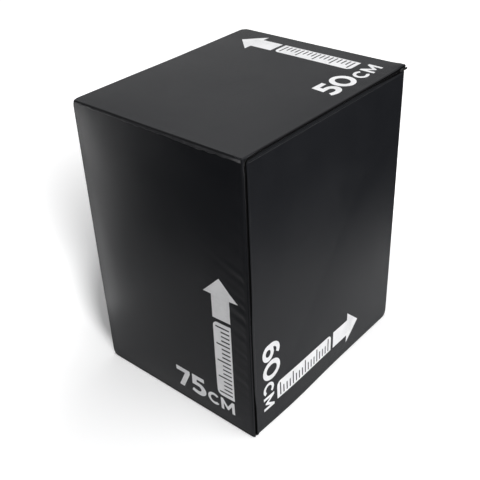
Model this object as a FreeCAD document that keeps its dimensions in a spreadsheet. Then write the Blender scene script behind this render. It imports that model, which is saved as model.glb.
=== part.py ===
"""Soft plyo box: a foam block in a zipped vinyl cover, standing on its smallest end.

Millimetres. The origin is the centre of the base, +Z is up, the front is -Y and the zip side is +X.
"""

import FreeCAD, Part
import math
import os
import types

import Sketcher

# Driving dimensions, one sheet cell each.
DRIVING = {
    # outside of the cover
    "box_width": 500.0,
    "box_depth": 600.0,
    "box_height": 750.0,
    # cover: vinyl, its return lips beside the zip, and the room between cover and foam
    "vinyl_wall": 1.0,
    "foam_clearance": 0.3,
    "lip_width": 4.0,
    # the fold of the loose corner: how far its crease stays from the zip's ends, and its slit
    "fold_margin": 45.0,
    "crease_gap": 0.5,
    "crease_room": 4.0,
    # zip: the open groove, tape, coil rows and end stops
    "zip_gap": 6.0,
    "tape_wall": 0.7,
    "tape_hem": 7.0,
    "tape_bend": 2.0,
    "coil_height": 0.8,
    "coil_clearance": 0.4,
    "running_clearance": 0.3,
    "stop_length": 3.0,
    "stop_wall": 0.6,
    "stop_inset": 2.0,
    # slider: two plates on a thin neck, with a bridge that holds the pull
    "slider_length": 14.0,
    "slider_inset": 16.0,
    "slider_flange": 1.2,
    "plate_wall": 1.4,
    "neck_wall": 0.8,
    "bridge_length": 9.0,
    "bridge_width": 1.4,
    "bridge_wall": 1.1,
    # pull: a flat tab whose eye rod lies under the bridge
    "pull_length": 22.0,
    "pull_width": 5.0,
    "pull_slack": 1.0,
    "rod_radius": 0.6,
    # binding tapes folded into the sewn edges
    "binding_wall": 0.8,
    "binding_leg": 9.0,
    "binding_room": 3.0,
    # foam: chamfered pads around a core of glued planks
    "edge_room": 3.0,
    "pad_shoulder": 6.3,
}

PLANK_COUNT = 7
QUARTER_TURN = 90.0

# Shape of the slider's plates and neck, as shares of the slider's length and width.
PLATE_TAIL_SHARE = 0.7
PLATE_WAIST_SHARE = 0.5
NECK_START_SHARE = 0.55
NECK_END_SHARE = 0.9

# Two points of a pad's block count as level within this share of its chamfer.
SAME_PLACE_SHARE = 0.001

LEFT, RIGHT = -1, 1
FRONT, BACK = -1, 1
BOTTOM, TOP = -1, 1
AXES = "xyz"


class Size:
    """A length: its value now, and the expression that gives it from the sheet."""

    def __init__(self, value, formula):
        self.value = value
        self.formula = formula

    def __add__(self, other):
        return Size(self.value + other.value, f"({self.formula} + {other.formula})")

    def __sub__(self, other):
        return Size(self.value - other.value, f"({self.formula} - {other.formula})")

    def __neg__(self):
        return Size(-self.value, f"(0 - {self.formula})")

    def __mul__(self, factor):
        return Size(self.value * factor, f"({self.formula} * {factor})")

    def __truediv__(self, factor):
        return Size(self.value / factor, f"({self.formula} / {factor})")

    def times_ratio(self, above, below):
        """This length times the ratio of two others."""
        value = self.value * above.value / below.value
        return Size(value, f"({self.formula} * {above.formula} / {below.formula})")


ZERO = Size(0.0, "0")


def fill_sheet(document):
    """Write the driving dimensions to the sheet and hand them back as sizes."""
    sheet = document.addObject("Spreadsheet::Sheet", "Sizes")
    for row, (alias, number) in enumerate(DRIVING.items(), start=1):
        sheet.set(f"A{row}", alias)
        sheet.set(f"B{row}", str(number))
        sheet.setAlias(f"B{row}", alias)
    document.recompute()
    sizes = {alias: Size(float(sheet.get(alias)), f"Sizes.{alias}") for alias in DRIVING}
    return types.SimpleNamespace(**sizes)


doc = FreeCAD.newDocument("soft_plyo_box")
d = fill_sheet(doc)

# Places that several pieces share.
half_width = d.box_width / 2
half_depth = d.box_depth / 2
half_height = d.box_height / 2
inner_width = half_width - d.vinyl_wall
inner_depth = half_depth - d.vinyl_wall
inner_height = half_height - d.vinyl_wall
upright = d.box_height - d.vinyl_wall * 2

# Radii about the bend of the zip at the top front corner, from the flap's tape outwards.
flap_radius = d.tape_bend + d.tape_hem
line_radius = flap_radius + d.zip_gap / 2
lip_radius = flap_radius + d.zip_gap
bend_y = -half_depth + d.lip_width + lip_radius
bend_z = d.box_height - d.lip_width - lip_radius
zip_line = d.lip_width + d.zip_gap / 2
zip_z = d.box_height - zip_line

slot_half = d.neck_wall / 2 + d.running_clearance
coil_width = d.zip_gap / 2 - slot_half - d.coil_clearance
flap_row = (line_radius - slot_half - coil_width, line_radius - slot_half)
cover_row = (line_radius + slot_half, line_radius + slot_half + coil_width)
flap_band = (d.tape_bend, line_radius - slot_half)
cover_band = (line_radius + slot_half,
              line_radius + zip_line - d.vinyl_wall - d.running_clearance)

tape_front = inner_width
tape_back = inner_width - d.tape_wall
coil_front = inner_width + d.coil_height

# The crease of the loose corner, from the front groove to the top groove.
flap_edge = d.lip_width + d.zip_gap
flap_top = d.box_height - flap_edge
crease_low = d.vinyl_wall + d.fold_margin
crease_high = d.box_depth - d.vinyl_wall - d.fold_margin
crease_rise = flap_top - crease_low
crease_run = crease_high - flap_edge


def bind(item, prop, size):
    """Tie one property of an object to the sheet."""
    item.setExpression(prop, size.formula)


def put(item, corner):
    """Tie an object's place to the sheet."""
    for axis, size in zip(AXES, corner):
        bind(item, f"Placement.Base.{axis}", size)


def slab(name, corner, sides):
    """A rectangular block from its lowest corner and its three sides."""
    block = doc.addObject("Part::Box", name)
    for prop, size in zip(("Length", "Width", "Height"), sides):
        bind(block, prop, size)
    put(block, corner)
    return block


def fused(name, pieces):
    """Several solids as one."""
    whole = doc.addObject("Part::MultiFuse", name)
    whole.Shapes = pieces
    whole.Refine = True
    return whole


def less(name, base, tool):
    """One solid with another taken out of it."""
    rest = doc.addObject("Part::Cut", name)
    rest.Base = base
    rest.Tool = tool
    rest.Refine = True
    return rest


def bend_quarter(name, x_from, thickness, radius):
    """A quarter disc about the zip's bend, in the quadrant of the top front corner."""
    quarter = doc.addObject("Part::Cylinder", name)
    bind(quarter, "Radius", radius)
    bind(quarter, "Height", thickness)
    quarter.Angle = QUARTER_TURN
    upwards = FreeCAD.Vector(0, 0, 1)
    forwards = FreeCAD.Vector(0, -1, 0)
    outwards = FreeCAD.Vector(1, 0, 0)
    turn = FreeCAD.Rotation(upwards, forwards, outwards, "ZXY")
    quarter.Placement = FreeCAD.Placement(FreeCAD.Vector(), turn)
    put(quarter, (x_from, bend_y, bend_z))
    return quarter


def upright_run(name, band, x_from, thickness, z_from, z_to):
    """A straight strip beside the zip's upright run, between two radii of the bend."""
    inner, outer = band
    corner = (x_from, bend_y - outer, z_from)
    return slab(name, corner, (thickness, outer - inner, z_to - z_from))


def level_run(name, band, x_from, thickness, y_from, y_to):
    """A straight strip beside the zip's top run, between two radii of the bend."""
    inner, outer = band
    corner = (x_from, y_from, bend_z + inner)
    return slab(name, corner, (thickness, y_to - y_from, outer - inner))


def zip_strip(name, band, x_from, thickness, z_from, y_to):
    """A strip that follows the zip up the front edge, round the bend and along the top."""
    inner, outer = band
    around = less(name + "_bend",
                  bend_quarter(name + "_bend_outer", x_from, thickness, outer),
                  bend_quarter(name + "_bend_inner", x_from, thickness, inner))
    up = upright_run(name + "_up", band, x_from, thickness, z_from, bend_z)
    along = level_run(name + "_along", band, x_from, thickness, bend_y, y_to)
    return fused(name, [up, around, along])


def plane_of(body, role):
    """One of a body's own origin planes."""
    return next(plane for plane in body.Origin.OriginFeatures if plane.Role == role)


def close_outline(sketch, corners):
    """Add one closed outline, counterclockwise.

    Each corner is its two coordinates, and the centre and radius of the arc that leaves it, if any.
    """
    first = sketch.GeometryCount
    count = len(corners)
    for index, (u, v, *arc) in enumerate(corners):
        following = corners[(index + 1) % count]
        start = FreeCAD.Vector(u.value, v.value, 0)
        end = FreeCAD.Vector(following[0].value, following[1].value, 0)
        edge = Part.LineSegment(start, end)
        if arc:
            centre = FreeCAD.Vector(arc[0].value, arc[1].value, 0)
            circle = Part.Circle(centre, FreeCAD.Vector(0, 0, 1), arc[2].value)
            from_angle = math.atan2(start.y - centre.y, start.x - centre.x)
            to_angle = math.atan2(end.y - centre.y, end.x - centre.x)
            edge = Part.ArcOfCircle(circle, from_angle, to_angle)
        sketch.addGeometry(edge)
    for index, (u, v, *arc) in enumerate(corners):
        edge = first + index
        following = first + (index + 1) % count
        sketch.addConstraint(Sketcher.Constraint("Coincident", edge, 2, following, 1))
        hold(sketch, Sketcher.Constraint("DistanceX", -1, 1, edge, 1, u.value), u)
        hold(sketch, Sketcher.Constraint("DistanceY", -1, 1, edge, 1, v.value), v)
        if arc:
            hold(sketch, Sketcher.Constraint("Radius", edge, arc[2].value), arc[2])


def hold(sketch, constraint, size):
    """Add a dimension to a sketch and tie it to the sheet."""
    number = sketch.addConstraint(constraint)
    bind(sketch, f"Constraints[{number}]", size)


def pad_outlines(body, name, role, outlines, offset, thickness):
    """Sketch closed outlines on a body's plane, moved out by an offset, and pad them."""
    sketch = body.newObject("Sketcher::SketchObject", name + "_outline")
    sketch.AttachmentSupport = [(plane_of(body, role), "")]
    sketch.MapMode = "FlatFace"
    bind(sketch, "AttachmentOffset.Base.z", offset)
    for corners in outlines:
        close_outline(sketch, corners)
    pad = body.newObject("PartDesign::Pad", name)
    pad.Profile = sketch
    bind(pad, "Length", thickness)
    return pad


def rectangle(u_from, v_from, u_to, v_to):
    """Corners of a rectangle, counterclockwise."""
    return [(u_from, v_from), (u_to, v_from), (u_to, v_to), (u_from, v_to)]


def cover_panels():
    """The plain vinyl panels, with the return lips that the top and front turn beside the zip."""
    wall = d.vinyl_wall
    bottom = slab("bottom_panel", (-half_width, -half_depth, ZERO), (d.box_width, d.box_depth, wall))
    back = slab("back_panel", (-half_width, inner_depth, wall), (d.box_width, wall, upright))
    left = slab("left_panel", (-half_width, -inner_depth, wall), (wall, inner_depth * 2, upright))

    lip_reach = d.lip_width - wall
    lip_z = d.box_height - d.lip_width
    front_wall = slab("front_wall", (-half_width, -half_depth, wall), (d.box_width, wall, upright))
    front_lip = slab("front_lip", (inner_width, -inner_depth, wall), (wall, lip_reach, lip_z - wall))
    front = fused("front_panel", [front_wall, front_lip])

    top_wall = slab("top_wall", (-half_width, -half_depth, d.box_height - wall),
                    (d.box_width, d.box_depth, wall))
    top_lip = slab("top_lip", (inner_width, -inner_depth, lip_z), (wall, inner_depth * 2, lip_reach))
    corner_block = slab("corner_block", (inner_width, bend_y - lip_radius, bend_z),
                        (wall, lip_radius, lip_radius))
    corner_round = bend_quarter("corner_round", inner_width, wall, lip_radius)
    corner = less("corner_fill", corner_block, corner_round)
    top = fused("top_panel", [top_wall, top_lip, corner])
    return [bottom, top, front, back, left]


def zip_side():
    """The zip side's vinyl: the sewn half and the loose corner, parted along the crease."""
    far_edge = d.box_depth - d.vinyl_wall
    sewn_outline = [
        (flap_edge, d.vinyl_wall),
        (far_edge, d.vinyl_wall),
        (far_edge, flap_top),
        (crease_high, flap_top),
        (flap_edge, crease_low),
    ]
    bend_u = flap_edge + flap_radius
    bend_v = flap_top - flap_radius
    flap_outline = [
        (flap_edge, crease_low + d.crease_gap),
        (crease_high - d.crease_gap, flap_top),
        (bend_u, flap_top, bend_u, bend_v, flap_radius),
        (flap_edge, bend_v),
    ]
    halves = []
    for name, outline in (("zip_panel", sewn_outline), ("zip_flap", flap_outline)):
        body = doc.addObject("PartDesign::Body", name)
        pad_outlines(body, name + "_sheet", "YZ_Plane", [outline], ZERO, d.vinyl_wall)
        put(body, (inner_width, -half_depth, ZERO))
        halves.append(body)
    return halves


def zip_rows():
    """Tapes and coil rows on both sides of the zip, and the fixed tails past the crease's ends."""
    seat = d.running_clearance
    lowest = d.vinyl_wall + seat
    rearmost = inner_depth - seat
    tail_top = crease_low - d.crease_room
    tail_front = crease_high - half_depth + d.crease_room
    tape_low = crease_low + d.tape_hem.times_ratio(crease_rise, crease_run) + d.crease_room
    tape_rear = (crease_high - half_depth
                 - d.tape_hem.times_ratio(crease_run, crease_rise) - d.crease_room)
    coil_low = crease_low + d.crease_room
    coil_rear = crease_high - half_depth - d.crease_room
    tape = (tape_back, d.tape_wall)
    coil = (tape_front, d.coil_height)
    return [
        zip_strip("cover_zip_tape", cover_band, *tape, lowest, rearmost),
        zip_strip("cover_zip_coil", cover_row, *coil, lowest, rearmost),
        zip_strip("flap_zip_tape", flap_band, *tape, tape_low, tape_rear),
        zip_strip("flap_zip_coil", flap_row, *coil, coil_low, coil_rear),
        upright_run("lower_tape_tail", flap_band, *tape, lowest, tail_top),
        upright_run("lower_coil_tail", flap_row, *coil, lowest, tail_top),
        level_run("upper_tape_tail", flap_band, *tape, tail_front, rearmost),
        level_run("upper_coil_tail", flap_row, *coil, tail_front, rearmost),
    ]


def end_stops():
    """Metal stops clamped over both coil rows at the two ends of the zip."""
    both_rows = (flap_row[0], cover_row[1])
    rear = inner_depth - d.stop_inset
    low = d.vinyl_wall + d.stop_inset
    plate = (coil_front, d.stop_wall)
    return [
        level_run("upper_end_stop", both_rows, *plate, rear - d.stop_length, rear),
        upright_run("lower_end_stop", both_rows, *plate, low, low + d.stop_length),
    ]


slider_width = d.zip_gap + d.slider_flange * 2
slider_y = half_depth - d.slider_inset
lower_plate_x = tape_back - d.running_clearance - d.plate_wall
upper_plate_x = half_width + d.running_clearance
bridge_foot = upper_plate_x + d.plate_wall
bridge_rise = (d.rod_radius + d.running_clearance) * 2
rod_x = bridge_foot + bridge_rise / 2


def zip_slider():
    """Two shield-shaped plates joined by a thin neck in the slot, and the bridge on top."""
    length = d.slider_length
    waist = length * PLATE_WAIST_SHARE
    tail_half = slider_width * PLATE_TAIL_SHARE / 2
    middle = slider_width / 2
    shield = [
        (ZERO, middle - tail_half),
        (waist, ZERO),
        (length, ZERO),
        (length, slider_width),
        (waist, slider_width),
        (ZERO, middle + tail_half),
    ]
    neck_half = d.neck_wall / 2
    neck = rectangle(length * NECK_START_SHARE, middle - neck_half,
                     length * NECK_END_SHARE, middle + neck_half)
    bridge_from = length / 2 - d.bridge_length / 2
    bridge_to = bridge_from + d.bridge_length
    low_side = middle - d.bridge_width / 2
    high_side = middle + d.bridge_width / 2
    posts = [
        rectangle(bridge_from, low_side, bridge_from + d.bridge_wall, high_side),
        rectangle(bridge_to - d.bridge_wall, low_side, bridge_to, high_side),
    ]
    bar = rectangle(bridge_from, low_side, bridge_to, high_side)

    body = doc.addObject("PartDesign::Body", "zip_slider")
    neck_rise = upper_plate_x - lower_plate_x - d.plate_wall
    layers = (
        ("lower_plate", [shield], d.plate_wall),
        ("neck", [neck], neck_rise),
        ("upper_plate", [shield], d.plate_wall),
        ("bridge_posts", posts, bridge_rise),
        ("bridge_bar", [bar], d.bridge_wall),
    )
    offset = ZERO
    for name, outlines, thickness in layers:
        pad_outlines(body, name, "YZ_Plane", outlines, offset, thickness)
        offset = offset + thickness
    put(body, (lower_plate_x, slider_y - length / 2, zip_z - middle))
    return body


def slider_pull():
    """A flat tab with a window that clears the bridge, and an eye rod under it."""
    thickness = d.rod_radius * 2
    low_x = rod_x - d.rod_radius
    low_z = zip_z - d.pull_width / 2
    tab = slab("pull_tab", (low_x, slider_y, low_z), (thickness, d.pull_length, d.pull_width))
    window_width = d.bridge_width + d.running_clearance * 2
    window_length = d.bridge_length / 2 + d.pull_slack
    window = slab("pull_window", (low_x, slider_y, zip_z - window_width / 2),
                  (thickness, window_length, window_width))
    rod = doc.addObject("Part::Cylinder", "pull_rod")
    bind(rod, "Radius", d.rod_radius)
    bind(rod, "Height", d.pull_width)
    put(rod, (rod_x, slider_y, low_z))
    return fused("slider_pull", [less("pull_frame", tab, window), rod])


def strip_start(side, face, start, width):
    """Lowest coordinate of a strip that begins some way inside a face, seen from the middle."""
    return face - start - width if side > 0 else start - face


def binding(name, ends, first, second):
    """A tape folded into one edge: two legs on the inner faces of the panels that meet there.

    ends is the axis the edge runs along, with its lowest coordinate and length; first and second
    are each an axis, the side of the box, the inner face's distance and the middle's coordinate.
    """
    wall, leg = d.binding_wall, d.binding_leg
    layouts = (
        ((ZERO, wall), (ZERO, leg)),
        ((wall, leg - wall), (ZERO, wall)),
    )
    legs = []
    for index, layout in enumerate(layouts, start=1):
        corner, sides = {}, {}
        corner[ends[0]], sides[ends[0]] = ends[1], ends[2]
        for (axis, side, face, middle), (start, width) in zip((first, second), layout):
            corner[axis] = middle + strip_start(side, face, start, width)
            sides[axis] = width
        legs.append(slab(f"{name}_leg_{index}", [corner[axis] for axis in AXES],
                         [sides[axis] for axis in AXES]))
    return fused(name, legs)


def bindings():
    """One binding in each sewn edge; the zip takes the other two edges."""
    setback = flap_edge + d.tape_hem + d.binding_room
    along_x = ("x", setback - half_width, d.box_width - setback * 2)
    along_y = ("y", setback - half_depth, d.box_depth - setback * 2)
    along_z = ("z", setback, d.box_height - setback * 2)

    def across(side):
        return ("x", side, inner_width, ZERO)

    def deep(side):
        return ("y", side, inner_depth, ZERO)

    def high(side):
        return ("z", side, inner_height, half_height)

    edges = (
        ("binding_front_left", along_z, across(LEFT), deep(FRONT)),
        ("binding_back_left", along_z, across(LEFT), deep(BACK)),
        ("binding_back_right", along_z, across(RIGHT), deep(BACK)),
        ("binding_bottom_front", along_x, deep(FRONT), high(BOTTOM)),
        ("binding_bottom_back", along_x, deep(BACK), high(BOTTOM)),
        ("binding_bottom_left", along_y, across(LEFT), high(BOTTOM)),
        ("binding_bottom_right", along_y, across(RIGHT), high(BOTTOM)),
        ("binding_top_front", along_x, deep(FRONT), high(TOP)),
        ("binding_top_back", along_x, deep(BACK), high(TOP)),
        ("binding_top_left", along_y, across(LEFT), high(TOP)),
    )
    return [binding(*edge) for edge in edges]


def chamfered_pad(name, corner, sides, chamfer, outer_axis, outer_side):
    """A foam pad whose outer edges are cut back to leave room for the cover's seams and zip.

    A lying pad loses its outer face's edges and its upright corners, a standing pad only the
    upright corners of its outer face.
    """
    body = doc.addObject("PartDesign::Body", name)
    outline = rectangle(ZERO, ZERO, sides[0], sides[1])
    block = pad_outlines(body, name + "_block", "XY_Plane", [outline], ZERO, sides[2])
    doc.recompute()
    level = sides[AXES.index(outer_axis)].value if outer_side > 0 else 0
    near = chamfer.value * SAME_PLACE_SHARE
    lies_flat = outer_axis == "z"
    edges = []
    for number, edge in enumerate(block.Shape.Edges, start=1):
        ends = [vertex.Point for vertex in edge.Vertexes]
        on_face = all(abs(getattr(end, outer_axis) - level) < near for end in ends)
        stands = abs(ends[0].x - ends[1].x) < near and abs(ends[0].y - ends[1].y) < near
        if (on_face or stands) if lies_flat else (on_face and stands):
            edges.append(f"Edge{number}")
    cut = body.newObject("PartDesign::Chamfer", name + "_chamfer")
    cut.Base = (block, edges)
    bind(cut, "Size", chamfer)
    put(body, corner)
    return body


def foam():
    """Six pads round a core of planks that lie on each other."""
    chamfer = flap_edge + d.tape_hem - d.vinyl_wall - d.foam_clearance + d.edge_room
    pad = chamfer + d.pad_shoulder
    reach_x = inner_width - d.foam_clearance
    reach_y = inner_depth - d.foam_clearance
    base = d.vinyl_wall + d.foam_clearance
    lid = d.box_height - base - pad
    floor = base + pad
    side_height = lid - floor
    core_x, core_y = reach_x - pad, reach_y - pad
    core_wide, core_deep = core_x * 2, core_y * 2
    lying = (reach_x * 2, reach_y * 2, pad)
    standing = (reach_x * 2, pad, side_height)

    pieces = [
        chamfered_pad("top_pad", (-reach_x, -reach_y, lid), lying, chamfer, "z", TOP),
        chamfered_pad("bottom_pad", (-reach_x, -reach_y, base), lying, chamfer, "z", BOTTOM),
        chamfered_pad("front_pad", (-reach_x, -reach_y, floor), standing, chamfer, "y", FRONT),
        chamfered_pad("back_pad", (-reach_x, core_y, floor), standing, chamfer, "y", BACK),
        slab("left_pad", (-reach_x, -core_y, floor), (pad, core_deep, side_height)),
        slab("right_pad", (core_x, -core_y, floor), (pad, core_deep, side_height)),
    ]
    plank = side_height / PLANK_COUNT
    for number in range(PLANK_COUNT):
        corner = (-core_x, -core_y, floor + plank * number)
        pieces.append(slab(f"core_plank_{number + 1}", corner, (core_wide, core_deep, plank)))
    return pieces


def check(pieces):
    """Stop if any object failed or any piece isn't one sound solid."""
    for item in doc.Objects:
        if "Invalid" in item.State or "Error" in item.State:
            raise RuntimeError(f"{item.Name} did not build: {item.State}")
    for piece in pieces:
        shape = piece.Shape
        if shape.isNull() or not shape.isValid() or len(shape.Solids) != 1:
            raise RuntimeError(f"{piece.Label} is not one valid solid")


def main():
    """Build every piece, check it and write it."""
    pieces = cover_panels() + zip_side() + zip_rows() + end_stops()
    pieces += [zip_slider(), slider_pull()] + bindings() + foam()
    doc.recompute()
    check(pieces)
    os.makedirs("parts", exist_ok=True)
    for piece in pieces:
        piece.Shape.exportStep(f"parts/{piece.Label}.step")
    print(len(pieces), "pieces")
    print("crease from y, z", (flap_edge - half_depth).value, crease_low.value,
          "to", (crease_high - half_depth).value, flap_top.value)
    print("pull rod at x, y, z", rod_x.value, slider_y.value, zip_z.value)
    print("slider runs back", (slider_y - d.slider_length / 2 - bend_y).value)


main()
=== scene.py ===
"""The looks of a soft plyo box: a foam block in a zipped cover of black vinyl.

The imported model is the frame, and every piece stays where its solid is. Sizes are
in millimetres, and become metres when a mesh is finished.
"""

import logging
import math
from dataclasses import dataclass, field
from enum import Enum
from typing import Callable, Iterable, Sequence

import bmesh
import bpy
from mathutils import Matrix, Vector, noise
from mathutils.bvhtree import BVHTree


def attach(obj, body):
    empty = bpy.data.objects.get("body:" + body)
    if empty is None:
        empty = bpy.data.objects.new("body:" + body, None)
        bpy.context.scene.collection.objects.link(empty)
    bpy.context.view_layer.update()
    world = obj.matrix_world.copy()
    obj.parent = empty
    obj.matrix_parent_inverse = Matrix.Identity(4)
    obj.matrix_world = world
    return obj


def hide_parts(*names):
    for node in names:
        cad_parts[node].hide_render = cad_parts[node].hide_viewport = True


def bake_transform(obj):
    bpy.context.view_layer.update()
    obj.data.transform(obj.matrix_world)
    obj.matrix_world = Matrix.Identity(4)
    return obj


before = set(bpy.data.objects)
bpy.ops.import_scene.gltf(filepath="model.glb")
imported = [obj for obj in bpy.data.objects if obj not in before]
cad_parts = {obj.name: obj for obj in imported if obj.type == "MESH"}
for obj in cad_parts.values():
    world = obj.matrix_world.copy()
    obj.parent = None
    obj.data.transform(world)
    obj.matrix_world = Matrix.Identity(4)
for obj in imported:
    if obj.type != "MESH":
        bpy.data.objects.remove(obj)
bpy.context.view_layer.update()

Colour = tuple[float, float, float]
Pair = tuple[float, float]
Node = bpy.types.Node
Outputs = bpy.types.NodeOutputs
Piece = bpy.types.Object
Shape = bmesh.types.BMesh
Socket = bpy.types.NodeSocket

LOG = logging.getLogger("plyo_box")
MM = 0.001
COVER_BODY = "cover_and_foam"
# names of the vinyl's painted highlight (which also polishes) and painted shade, kept on the mesh
POLISH_AND_HIGHLIGHT = "folds"
PAINTED_SHADE = "shade"
X, Y, Z = Vector((1, 0, 0)), Vector((0, 1, 0)), Vector((0, 0, 1))
HALF = (250.0, 300.0, 375.0)
HEIGHT = 2 * HALF[2]
MIDDLE = Vector((0.0, 0.0, HALF[2])).freeze()
WHITE = (1.0, 1.0, 1.0, 1.0)
NOISE_SEED = 7


def ease(t: float) -> float:
    """A smooth step from 0 to 1 that is flat at both ends."""
    t = min(1.0, max(0.0, t))
    return t * t * (3.0 - 2.0 * t)


def rise(value: float, start: float, run: float) -> float:
    """A smooth step that starts at a value and takes a run, downwards where that is negative."""
    return ease((value - start) / run)


def hump(off: float, width: float) -> float:
    """A smooth hump that is 1 at its middle and dies out at twice its width."""
    return math.exp(-((off / width) ** 2))


def ripple(place: float, seed: float) -> float:
    """Smooth noise along a line, about -1 to 1, the same on each run."""
    return noise.noise(Vector((place, seed, 0.37 * seed)))


class Face(Enum):
    """The box's six sides: outward direction, then across and up the side."""

    FRONT = (-Y, X, Z)
    BACK = (Y, -X, Z)
    LEFT = (-X, -Y, Z)
    ZIP = (X, Y, Z)
    TOP = (Z, X, Y)
    BOTTOM = (-Z, X, -Y)

    def __init__(self, out: Vector, across: Vector, up: Vector) -> None:
        """Names the side's directions, its half sizes and its distance from the middle."""
        self.out, self.across, self.up = out, across, up
        self.wide, self.high, self.deep = (abs(Vector(HALF).dot(v)) for v in (across, up, out))

    def spot(self, p: Vector) -> Pair:
        """A point's place across and up the side, from the side's middle."""
        return (p - MIDDLE).dot(self.across), (p - MIDDLE).dot(self.up)


class Effect(Enum):
    """Surface effects that more than one finish uses."""

    GRAIN = "leather_grain"
    WEAVE = "woven_threads"
    HANDLING = "handling_marks"
    CELLS = "foam_cells"


class Wiring:
    """Short calls that fill one node tree."""

    def __init__(self, tree: bpy.types.NodeTree) -> None:
        """Starts on the tree of a material, a world or a group."""
        self.tree = tree

    def node(self, kind: str, **settings: object) -> Node:
        """Adds a shader node.

        Args:
            kind: the node's type name, without its prefix.
            settings: values for the node's own options.

        Returns:
            The new node.
        """
        made = self.tree.nodes.new("ShaderNode" + kind)
        for option, value in settings.items():
            setattr(made, option, value)
        return made

    def put(self, inlet: Socket, value: object) -> None:
        """Fills one input.

        Args:
            inlet: the input.
            value: a socket to link, or a plain value.
        """
        if isinstance(value, Socket):
            self.tree.links.new(value, inlet)
        else:
            inlet.default_value = value

    def feed(self, node: Node, **inputs: object) -> Node:
        """Fills a node's inputs, where a name's underscores stand for spaces.

        Args:
            node: the node to fill.
            inputs: a socket or a plain value for each input.

        Returns:
            The same node.
        """
        for name, value in inputs.items():
            self.put(node.inputs[name.replace("_", " ")], value)
        return node

    def step(self, kind: str, operation: str, terms: Iterable[object]) -> Outputs:
        """One step of arithmetic.

        Args:
            kind: the type of node.
            operation: what it does.
            terms: sockets or plain values.

        Returns:
            The node's outputs.
        """
        made = self.node(kind, operation=operation)
        for inlet, term in zip(made.inputs, terms):
            self.put(inlet, term)
        return made.outputs

    def sums(self, operation: str, *terms: object) -> Socket:
        """One step of arithmetic with sockets and numbers."""
        return self.step("Math", operation, terms)[0]

    def times(self, *terms: object) -> Socket:
        """The product of two sockets or numbers."""
        return self.sums("MULTIPLY", *terms)

    def vectors(self, operation: str, *terms: object) -> Outputs:
        """One step of arithmetic with vectors."""
        return self.step("VectorMath", operation, terms)

    def parts(self, vector: Socket) -> Outputs:
        """A vector's x, y and z."""
        return self.feed(self.node("SeparateXYZ"), Vector=vector).outputs

    def level(self, value: Socket, low: float, high: float) -> Socket:
        """Spreads a 0 to 1 value evenly over another range."""
        return self.feed(self.node("MapRange"), Value=value, To_Min=low, To_Max=high).outputs[0]

    def smooth(self, value: Socket, run: Pair, ends: Pair = (0.0, 1.0)) -> Socket:
        """A smooth change from one end value to the other, over a run of what it follows."""
        made = self.node("MapRange", interpolation_type="SMOOTHSTEP")
        return self.feed(made, Value=value, From_Min=run[0], From_Max=run[1],
                         To_Min=ends[0], To_Max=ends[1]).outputs[0]

    def tint(self, value: Socket, low: Colour, high: Colour) -> Socket:
        """A colour between two.

        Args:
            value: the value that chooses.
            low: the colour at 0.
            high: the colour at 1.

        Returns:
            The colour's socket.
        """
        made = self.feed(self.node("ValToRGB"), Fac=value)
        for stop, colour in zip(made.color_ramp.elements, (low, high)):
            stop.color = (*colour, 1.0)
        return made.outputs["Color"]

    def mixed(self, share: Socket, ground: Socket, over: Colour) -> Socket:
        """Lays a plain colour over another.

        Args:
            share: how much of the plain colour shows, 0 to 1.
            ground: the colour below.
            over: the plain colour.

        Returns:
            The mixed colour's socket.
        """
        made = self.node("Mix", data_type="RGBA")
        below, above = [inlet for inlet in made.inputs if inlet.type == "RGBA"]
        for inlet, value in ((made.inputs[0], share), (below, ground), (above, (*over, 1.0))):
            self.put(inlet, value)
        return next(outlet for outlet in made.outputs if outlet.type == "RGBA")

    def bump(self, height: Socket, depth: float, strength: float = 1.0) -> Socket:
        """A normal bumped by a 0 to 1 height, where 1 stands for a depth in millimetres."""
        made = self.feed(self.node("Bump"), Height=height, Distance=depth * MM, Strength=strength)
        return made.outputs["Normal"]


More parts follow.
